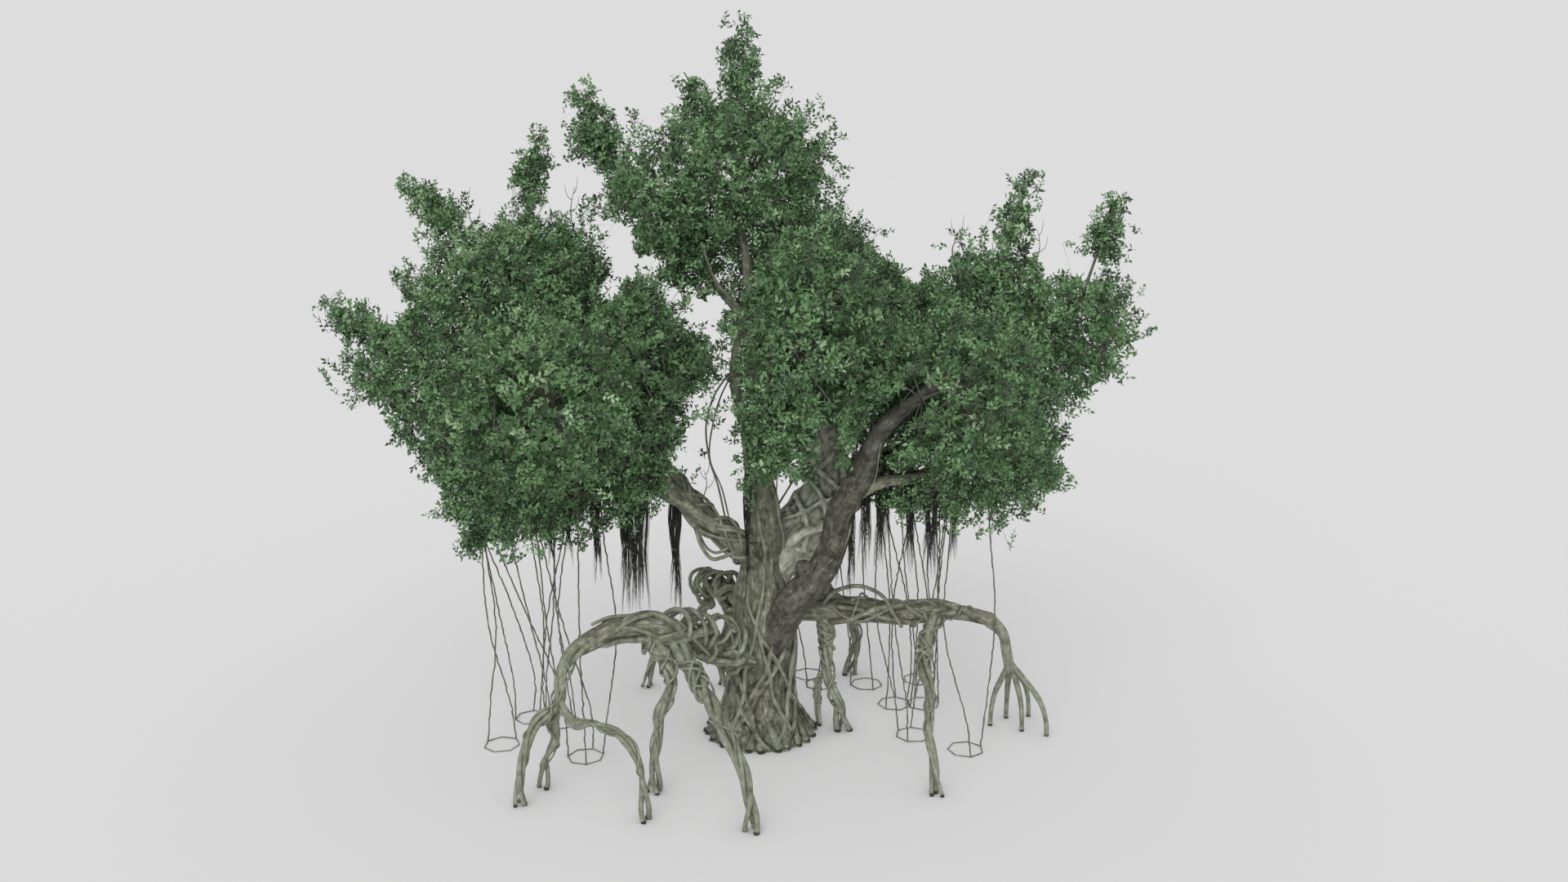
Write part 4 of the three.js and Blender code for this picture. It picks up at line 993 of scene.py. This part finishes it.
# Stretches of wood that leaves leave open to the front: a limb, from and to which share, how wide,
# and the share of sprays that goes.
OPENINGS = [("bough_right_front", 0.5, 0.97, 0.34, 1.0), ("bough_right_rear", 0.3, 0.63, 0.28, 1.0),
            ("side_branch", 0.0, 1.0, 0.12, 1.0), ("leader_branch", 0.0, 0.9, 0.1, 1.0),
            ("trunk", 0.5, 0.7, 0.13, 0.85), ("trunk", 0.86, 1.0, 0.15, 0.95)]
SKY_GAPS = [  # clefts that stay open right through the crown: a place in each, and its radius
    (-2.61, 0.3, 9.95, 0.3), (-2.6, 0.3, 9.4, 0.3), (-2.1, 0.3, 9.5, 0.22), (2.97, 0.3, 9.6, 0.32),
    (6.2, 0.3, 9.3, 0.32), (5.6, 0.3, 9.35, 0.25), (-5.2, 0.4, 10.2, 0.2), (-6.9, -0.3, 8.6, 0.3),
    (-0.86, 0.3, 8.56, 0.24), (-6.15, -1.2, 5.2, 0.28), (-5.85, -1.2, 4.55, 0.25),
    (6.75, 0.3, 6.95, 0.3), (5.85, -0.7, 5.9, 0.25), (2.4, 0.3, 9.75, 0.22), (-2.92, 0.3, 8.84, 0.22),
    (-1.5, -0.5, 5.75, 0.2), (2.94, 0.3, 9.2, 0.2), (3.4, 0.3, 9.45, 0.22), (-7.25, -0.6, 6.6, 0.3),
    (-6.7, -1.0, 5.9, 0.25), (7.25, 0.3, 7.4, 0.25), (-0.8, 0.0, 13.0, 0.17),
    (-1.12, -0.8, 6.3, 0.24), (-7.28, -0.5, 5.8, 0.34), (-8.0, -0.5, 6.4, 0.36),
    (-6.72, -0.5, 4.76, 0.38),
]
lowest_corner, highest_corner = (np.array(corner) for corner in solid_box)
PROUD = 0.008 * (highest_corner - lowest_corner)  # how far sprays may reach past the solids
wood_places = np.vstack([limb.line for limb in limbs.values()])
wood_radii = np.concatenate([limb.radius for limb in limbs.values()])


def clear_of_wood(places):
    free = np.empty(len(places), bool)
    for k in range(0, len(places), 500):
        part = places[k:k + 500, None] - wood_places[None]
        free[k:k + 500] = (np.linalg.norm(part, axis=2) > wood_radii + WOOD_CLEARANCE).all(1)
    return free


def in_sky_gap(places):
    sight = unit(places - FRONT)
    inside = np.zeros(len(places), bool)
    for *centre, radius in SKY_GAPS:
        reach = np.array(centre) - FRONT
        far = np.linalg.norm(reach)
        inside |= np.linalg.norm(sight - reach / far, axis=1) * far < radius
    return inside


def hides_wood(places, draw):
    """Which places hang before a stretch of wood that stays open, seen from the tree's front."""
    reach = np.linalg.norm(places - FRONT, axis=1)
    sight = (places - FRONT) / reach[:, None]
    hiding = np.zeros(len(places), bool)
    for name, first, last, width, share in OPENINGS:
        line = limbs[name].line
        line = line[int(first * len(line)):int(last * len(line))]
        far = np.linalg.norm(line - FRONT, axis=1)
        apart = np.linalg.norm(sight[:, None] - ((line - FRONT) / far[:, None])[None], axis=2) * far
        over = (apart.min(1) < width) & (reach < far[apart.argmin(1)] + SPRAY_DEPTH)
        hiding |= over & (draw < share)
    return hiding


def within_solids(places):
    return ((places > lowest_corner - PROUD) & (places < highest_corner + PROUD)).all(1)


def ragged_end(places, seed):
    """Where the leaves end, in and out by lumps of a spray or two."""
    return 0.93 + 0.14 * noise(places, 0.8, seed) + 0.13 * noise(places, 0.32, seed + 20)


def belongs(place, index):
    """Whether the place lies in that mass, and not deeper in another."""
    return depths(place[None])[:, 0].argmin() == index


# ---- Branches inside each mass: a stem, branches from it, and twigs from those ----
BRANCHES = 11
BRANCH_REACH = 0.5  # in the mass's own reach
CROWDED_REACH = 0.3  # where that would end in a neighbour
BRANCH_RADII = (0.045, 0.024)
TWIGS_EACH = 6
TWIG_REACH = 0.8
TWIG_RADII = (0.02, 0.009)
PLUME_STEM_RADII = (0.05, 0.012)
PLUME_CROWDING = 1.5  # how much denser a plume's sprays are tried
SPRAYS_PER_CUBIC_METRE = 200
RIND = 0.84  # the depth at which the leafy rind begins
INNER_SHARE = 0.2  # how many of the sprays inside it are kept
BALL = 4 / 3 * math.pi  # a ball's volume, in its radius cubed
OVERSHOOT = 1.25  # how far past its reach a mass's sprays are tried
SPRAY_LENGTH = (0.26, 0.46)
OUTWARD, UPWARD, ASIDE = 0.7, 0.25, 0.9  # how strongly a spray turns each way
SPRIGS = 54  # directions in which a mass may send a sprig out beyond its leaves
SPRIG_SPRAYS = 5
SPRIG_LENGTH = (0.05, 0.36)
branches = Stock()
sprays = []


def grow_sprays(places, depth, knots):
    """Sets a spray with its tip at every place that is free, and ties each to the nearest knot."""
    outward = way_out(places)
    aside = unit(random.normal(size=places.shape))
    way = unit(outward * OUTWARD + UP * UPWARD + aside * ASIDE)
    feet = places - way * random.uniform(*SPRAY_LENGTH, len(places))[:, None]
    free = clear_of_wood(places) & clear_of_wood(feet)
    free &= within_solids(places) & within_solids(feet)
    middle = (places + feet) / 2
    free &= ~hides_wood(middle, random.random(len(places))) & ~in_sky_gap(middle)
    starts = knots[np.linalg.norm(feet[:, None] - knots[None], axis=2).argmin(1)]
    for share in (0.5, 0.75, 1):
        free &= ~in_sky_gap(starts + (feet - starts) * share)
    sprays.append([part[free] for part in (places, feet, starts, outward, depth)])


for index, (mass, (at, reach, foot, _)) in enumerate(MASSES.items()):
    centre, reach = metres(at), metres(reach)
    carrier = limbs[foot]
    tip, heading = carrier.line[-1], carrier.heading[-1]
    bend = tip + heading * np.linalg.norm(centre - tip) * 0.4
    stem = bezier(tip, bend, centre, 12)
    branches.add_tube(stem, (carrier.radius[-1], carrier.radius[-1] * 0.5), 7, CREEPER_FIBRES)
    knots = [stem[6:]]
    for i, way in enumerate(ways_out(BRANCHES, index)):
        leaving = stem[5 + i % 7]
        end = centre + way * reach * BRANCH_REACH
        if not belongs(end, index):
            end = centre + way * reach * CROWDED_REACH
        path = bezier(leaving, (leaving + end) / 2 + UP * 0.15, end, 7)
        branches.add_tube(path, BRANCH_RADII, 5, dome=False)
        knots.append(path[3:])
        for turn in ways_out(TWIGS_EACH, i + index):
            twig_end = centre + unit(way + 0.75 * turn) * reach * TWIG_REACH
            if belongs(twig_end, index) and clear_of_wood(twig_end[None])[0]:
                twig_path = bezier(path[-1], (path[-1] + twig_end) / 2 + UP * 0.08, twig_end, 5)
                branches.add_tube(twig_path, TWIG_RADII, 3, dome=False)
                knots.append(twig_path[1:])
    knots = np.vstack(knots)
    count = int(SPRAYS_PER_CUBIC_METRE * BALL * np.prod(reach * OVERSHOOT))
    away = unit(random.normal(size=(count, 3))) * random.random((count, 1)) ** (1 / 3) * OVERSHOOT
    places = centre + away * reach
    depth = crown_depth(places)
    kept = (depths(places).argmin(0) == index) & (depth < ragged_end(places, index)) & (depth > 0.5)
    kept &= (depth > RIND) | (random.random(count) < INNER_SHARE)
    grow_sprays(places[kept], depth[kept], knots)
    rim = centre + ways_out(SPRIGS, 0.7 * index) * reach * 0.97
    rim = rim[crown_depth(rim) > 0.9]
    past = random.uniform(*SPRIG_LENGTH, (len(rim), SPRIG_SPRAYS, 1))
    reached = rim[:, None] + way_out(rim)[:, None] * past
    reached = (reached + random.normal(size=reached.shape) * 0.1).reshape(-1, 3)
    grow_sprays(reached, np.full(len(reached), 0.97), knots)
    for egg in EGGS[mass]:
        middle, way, radius = egg
        path = bezier(centre, (centre + middle) / 2, middle + way * radius * 1.2, 14)
        branches.add_tube(path, PLUME_STEM_RADII, 5)
        count = int(SPRAYS_PER_CUBIC_METRE * PLUME_CROWDING * 8 * radius**3 * PLUME_LENGTH)
        box = random.uniform(-1, 1, (count, 3)) * radius
        places = middle + box + way * (box @ way)[:, None] * (PLUME_LENGTH - 1)
        depth = depth_in_egg(egg, places)
        edge = 0.95 + 0.42 * noise(places, 0.42, index) + 0.34 * noise(places, 0.2, index + 7)
        kept = depth < edge - 0.4 * random.random(count) ** 2
        kept &= random.random(count) < 0.8
        grow_sprays(places[kept], np.maximum(depth[kept], RIND), path[5:])

# Bare twigs that stand up out of the crown and off the left bough: a place, from and to what height.
for x, y, low, high in ((-5.55, 0.5, 9.6, 10.7), (-3.55, 0.5, 9.9, 10.85), (5.3, 0.4, 9.2, 10.05),
                        (-1.1, -0.3, 4.75, 5.5), (-6.15, 0.3, 9.3, 10.0), (3.75, 0.3, 9.5, 10.1)):
    rise = np.linspace(0, 1, 9)
    stalk = np.column_stack([x + 0.07 * np.sin(4 * rise + x), y + 0.05 * np.sin(3 * rise),
                             low + (high - low) * rise])
    branches.add_tube(stalk, (0.016, 0.004), 5)
    for fork, aside in ((4, 0.16), (6, -0.13), (7, 0.08)):
        side = bezier(stalk[fork], stalk[fork] + (aside, 0, 0.05), stalk[fork] + (aside, 0.04, 0.3), 6)
        branches.add_tube(side, (0.008, 0.003), 4)

tips, feet, starts, outward, depth = (np.concatenate(part) for part in zip(*sprays))

# Every spray's own twig: a thin sliver from its knot to its tip, widest where the leaves begin.
TWIG_HALF = 0.006
across = unit(np.cross(tips - feet, UP + 0.3 * EAST)) * TWIG_HALF
twig_verts = np.stack([starts, feet + across, tips, feet - across], axis=1).reshape(-1, 3)
twig_faces = quad_faces(len(feet), [[0, 1, 3], [1, 2, 3]])
twigs = mesh_from("spray_twigs", twig_verts, twig_faces, twig_verts)
show("spray_twigs", twigs, thin_bark)
show_stock("crown_branches", branches, thin_bark)

# ---- Leaves: each spray has its leaves set spirally along its twig, and one at the tip ----
LEAVES = 10
LEAF_LENGTH = (0.088, 0.132)
LEAF_OUTLINE = [(0, 0), (0.45, 0.27), (1, 0), (0.45, -0.27)]
INNER_LEAF = 1.5  # how much larger the leaves are that only close the crown's inside
LEAF_FOLD = 0.35  # how steeply the two halves rise from the midrib
LEAF_DROOP = 0.12  # how far the tip hangs below the stalk's line, in its length
LEAF_LEAN = ([0, 0.9, 1], [1.25, 0.8, 0.1])  # places along a spray, a leaf's angle to it there
LEAF_TAPER = (1.05, 0.85)  # how long the leaves are at a spray's foot and tip


def leaves_of(chosen):
    """The corners and faces of all the leaves on the chosen sprays."""
    count = len(chosen)
    foot, tip = feet[chosen], tips[chosen]
    way = unit(tip - foot)
    side = unit(np.cross(way, UP + 0.2 * EAST))
    up = np.cross(side, way)
    k = np.arange(LEAVES)
    place = 0.12 + 0.88 * k / (LEAVES - 1)
    angle = k[None] * GOLDEN_TURN + random.uniform(0, TURN, (count, 1))
    lean = np.interp(place, *LEAF_LEAN) + random.uniform(-0.2, 0.2, (count, LEAVES))
    axis = turned(way[:, None], turned(side[:, None], up[:, None], angle), lean)
    facing = random.normal(size=(count, LEAVES, 3)) * 0.55 + UP * 0.45 + outward[chosen][:, None] * 0.5
    width = unit(np.cross(axis, facing))
    lift = np.cross(width, axis)
    taper = np.interp(place, [0, 1], LEAF_TAPER)[:, None]
    length = random.uniform(*LEAF_LENGTH, (count, LEAVES, 1)) * taper
    length *= np.where(depth[chosen] < RIND, INNER_LEAF, 1)[:, None, None]
    root = foot[:, None] + (tip - foot)[:, None] * (place * 0.86)[:, None]
    corners = []
    for run, half in LEAF_OUTLINE:
        rise = abs(half) * LEAF_FOLD - LEAF_DROOP * run * run
        corners.append(root + (axis * run + width * half + lift * rise) * length)
    verts = np.stack(corners, axis=2).reshape(-1, 3)
    return verts, quad_faces(count * LEAVES, [[0, 1, 2], [0, 2, 3]])


# Sprays are dealt their tints partly by chance and partly as painted light: the nearer a spray lies to
# its mass's middle, the paler its tint, which offsets the shade deep in the crown.
light = 0.6 * (0.9 - depth) + 0.2 * noise(tips, 0.7, 5)
light += 0.2 * noise(tips, 0.3, 6) + random.normal(size=len(tips)) * 0.25
order = np.argsort(np.argsort(light)) / len(light)
# Painted shade: clusters of sprays at the crown's outline are given the darkest tint.
painted_shade_sprays = (noise(tips, 0.6, 9) > 0.55) & (depth > 0.93)
dealt = np.searchsorted([row[2] for row in LEAF_TINTS.values()], order, side="right")
dealt[painted_shade_sprays] = 0
for k, tint in enumerate(LEAF_TINTS):
    mesh = mesh_from(f"leaves_{tint}", *leaves_of(np.flatnonzero(dealt == k)), smooth=False)
    show(f"leaves_{tint}", mesh, leaf_skin[tint], list(MASSES) if tint == "green" else ())

# ---- Aerial roots: from the underside of the crown to loops that lie on the ground ----
ROOT_RADIUS = 0.015
COIL_RADIUS = 0.35
ROOT_STEP = 0.09
COILS = [  # where each loop lies, the mass that its roots hang from, and how many there are
    (-5130, -730, "foliage_left_lower", 2), (-3390, -1270, "foliage_left_lower", 4),
    (-4770, 560, "foliage_left_lower", 4), (-4090, 350, "foliage_left_lower", 5),
    (3070, -280, "foliage_right_lower", 4), (3430, 1270, "foliage_right_lower", 4),
    (2290, 2340, "foliage_back", 2), (1280, 2340, "foliage_back", 3),
    (2820, 1270, "foliage_right_lower", 3), (3480, 2610, "foliage_right_back", 2),
    (4040, -950, "foliage_right_lower", 2), (1020, 2900, "foliage_back", 1),
]
roots = Stock()
for coil, (x, y, mass, count) in enumerate(COILS):
    ring = np.arange(8) * TURN / 7 + 0.4 * coil
    path = np.column_stack([x * MM + COIL_RADIUS * np.cos(ring), y * MM + COIL_RADIUS * np.sin(ring),
                            np.full(8, ROOT_RADIUS)])
    roots.add_tube(evenly(path, 0.06), ROOT_RADIUS * 0.55, 5, ROOT_FIBRES, lowest=0)
    at, reach = (metres(part) for part in MASSES[mass][:2])
    for i in range(count):
        end = path[(2 * i + 1) % 7]
        toward = np.clip((end - at) / reach, -0.62, 0.62)
        top = at + toward * reach + np.array([0.5 * (i - count / 2), 0.2 * (i % 2), 0])
        top[0] = np.clip(top[0], at[0] - 0.72 * reach[0], at[0] + 0.72 * reach[0])
        top[2] = at[2] - 0.3 * reach[2]
        sway = np.array([random.uniform(-0.35, 0.35), random.uniform(-0.3, 0.3), 0])
        middle = top * 0.45 + end * 0.55 + sway
        upper = top * 0.75 + middle * 0.25 - UP * 0.3
        lower = end * ON_GROUND + UP * 0.7 + 0.3 * sway
        line = smooth_line([top, upper, middle, lower, end], ROOT_STEP)
        line[1:-1, :2] += random.normal(size=(len(line) - 2, 2)) * 0.006
        roots.add_tube(line, ROOT_RADIUS, 5, ROOT_FIBRES, lowest=0)
# Two ropes of root hang from the leader and cross on their way down to the left bough, and a short
# one hangs by the rear bough.
vine([(-0.6, -0.1, 7.35), (-0.86, -0.5, 6.98), (-0.99, -0.85, 6.5), (-0.95, -0.72, 5.85),
      (-0.8, -0.52, 5.25), (-0.68, -0.36, 4.6)], (0.019, 0.017), roots, 6)
vine([(-0.56, -0.1, 7.3), (-0.74, -0.45, 6.95), (-0.88, -0.82, 6.45), (-0.94, -0.66, 5.8),
      (-0.73, -0.5, 5.2), (-0.6, -0.34, 4.55)], (0.016, 0.014), roots, 6)
vine([(1.1, 0.1, 6.2), (0.87, 0.1, 5.6), (0.55, 0.05, 5.05), (0.36, 0.0, 4.75)], (0.02, 0.02),
     roots, 6)
bunches = [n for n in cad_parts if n.startswith("roots_")]
show_stock("aerial_roots", roots, thin_bark, bunches)

# ---- Tassels: bunches of black root hair that have not reached the ground ----
TASSELS = [  # top, how low it hangs, its half width, how many locks
    ((-2330, -1200, 5500), 2800, 270, 13), ((-1630, -420, 4950), 2250, 85, 5),
    ((-3960, -1000, 5200), 3250, 60, 2), ((-3610, -1000, 5200), 3650, 60, 2),
    ((-3100, -1000, 5300), 3350, 90, 4), ((-230, -790, 5700), 2600, 45, 2),
    ((1720, -1250, 5500), 3100, 90, 4), ((2020, -1000, 6000), 3500, 110, 5),
    ((2330, -1000, 6000), 3650, 150, 7), ((2680, -2000, 7400), 5300, 60, 3),
    ((3250, -1150, 5600), 3500, 140, 5), ((2850, -900, 5600), 3550, 110, 4),
    ((3700, -900, 5600), 3800, 90, 3), ((1500, -1150, 5000), 3300, 60, 2),
]
HAIRS_IN_LOCK = 17
HAIR_RADIUS = 0.0085
LOCK_HALF = 0.019  # from a lock's middle to where most of its hairs hang
LOCK_SWAY = 0.03
HAIR_SWAY = 0.008
hair = Stock()
down = np.linspace(0, 1, 9)
for top, low, half, locks in TASSELS:
    x, y, high = metres(top)
    for lock in range(locks):
        bearing, out = lock * GOLDEN_TURN, half * MM * math.sqrt((lock + 0.5) / locks)
        fall = low * MM + (high - low * MM) * 0.3 * random.random() ** 2
        middle = np.column_stack([
            x + out * math.cos(bearing) + LOCK_SWAY * np.sin(TURN * (1.3 * down + 0.37 * lock)),
            y + out * math.sin(bearing) + LOCK_SWAY * np.cos(TURN * (0.9 * down + 0.23 * lock))])
        for _ in range(HAIRS_IN_LOCK):
            start = random.normal(size=2) * LOCK_HALF
            end = 1 - 0.35 * random.random() ** 1.6
            path = np.column_stack([middle, high + (fall - high) * down * end])
            path[:, :2] += start * (1 - 0.5 * down[:, None] ** 2)
            path[:, :2] += HAIR_SWAY * np.sin(9 * down[:, None] + random.uniform(0, TURN, 2))
            hair.add_tube(path, HAIR_RADIUS * (1.04 - down**1.5), 3, dome=False)
tassels = [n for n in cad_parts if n.startswith("tassel_")]
show_stock("root_hair_tassels", hair, root_hair, tassels)

# ---- Floor, light and camera ----
FLOOR_SIZE = 900.0
STUDIO_GREY = "#dddddd"
FLOOR_GLOW = 0.45
PAINTED_SHADOW_REACH = 0.8  # how near the floor a part has to be to darken it with painted shadow
SUN_STRENGTH = 1.6
SUN_SOFTNESS = math.radians(60)
SUN_TURN = (math.radians(56), math.radians(-16), 0)
LENS = 30
SENSOR = 36
LOOK_DOWN = math.radians(12.1)
floor_corners = FLOOR_SIZE * np.array([(-1, -1, 0), (1, -1, 0), (1, 1, 0), (-1, 1, 0)])
floor_mesh = mesh_from("floor", floor_corners, np.array([[0, 1, 2, 3]]), smooth=False)
floor = put_in_scene("floor", floor_mesh)
# A matt floor that glows softly; where the tree stands close over it, ambient occlusion dims its glow,
# a painted shadow.
paint, paint_tree, paint_shader = blank_material("pale studio floor", 0.95)
paint_shader.inputs["Base Color"].default_value = linear("#aaaaaa")
paint_shader.inputs["Specular IOR Level"].default_value = 0.0
paint_shader.inputs["Emission Strength"].default_value = FLOOR_GLOW
near = node(paint_tree, "AmbientOcclusion", {"samples": 12}, Distance=PAINTED_SHADOW_REACH)
# Painted shadow: the glow runs from dark grey close under the tree to studio grey in the open.
painted_floor_shadow = node(paint_tree, "ValToRGB", stops=[(0.3, "#303030"), (0.96, STUDIO_GREY)], Fac=(near, "AO"))
paint_tree.links.new(painted_floor_shadow.outputs["Color"], paint_shader.inputs["Emission Color"])
floor_mesh.materials.append(paint)

world = bpy.data.worlds.new("studio")
bpy.context.scene.world = world
world.use_nodes = True
sky = world.node_tree.nodes["Background"]
sky.inputs["Color"].default_value = linear(STUDIO_GREY)
sky.inputs["Strength"].default_value = 1.0
sun_data = bpy.data.lights.new("soft_key", "SUN")
sun_data.energy = SUN_STRENGTH
sun_data.angle = SUN_SOFTNESS
sun = put_in_scene("soft_key", sun_data)
sun.rotation_euler = SUN_TURN

camera_data = bpy.data.cameras.new("camera")
camera_data.sensor_width = SENSOR
camera_data.lens = LENS
camera_data.clip_end = 2000
camera = put_in_scene("camera", camera_data)
camera.location = FRONT
camera.rotation_euler = (math.pi / 2 - LOOK_DOWN, 0, 0)
bpy.context.scene.camera = camera
bpy.context.scene.view_settings.view_transform = "Standard"
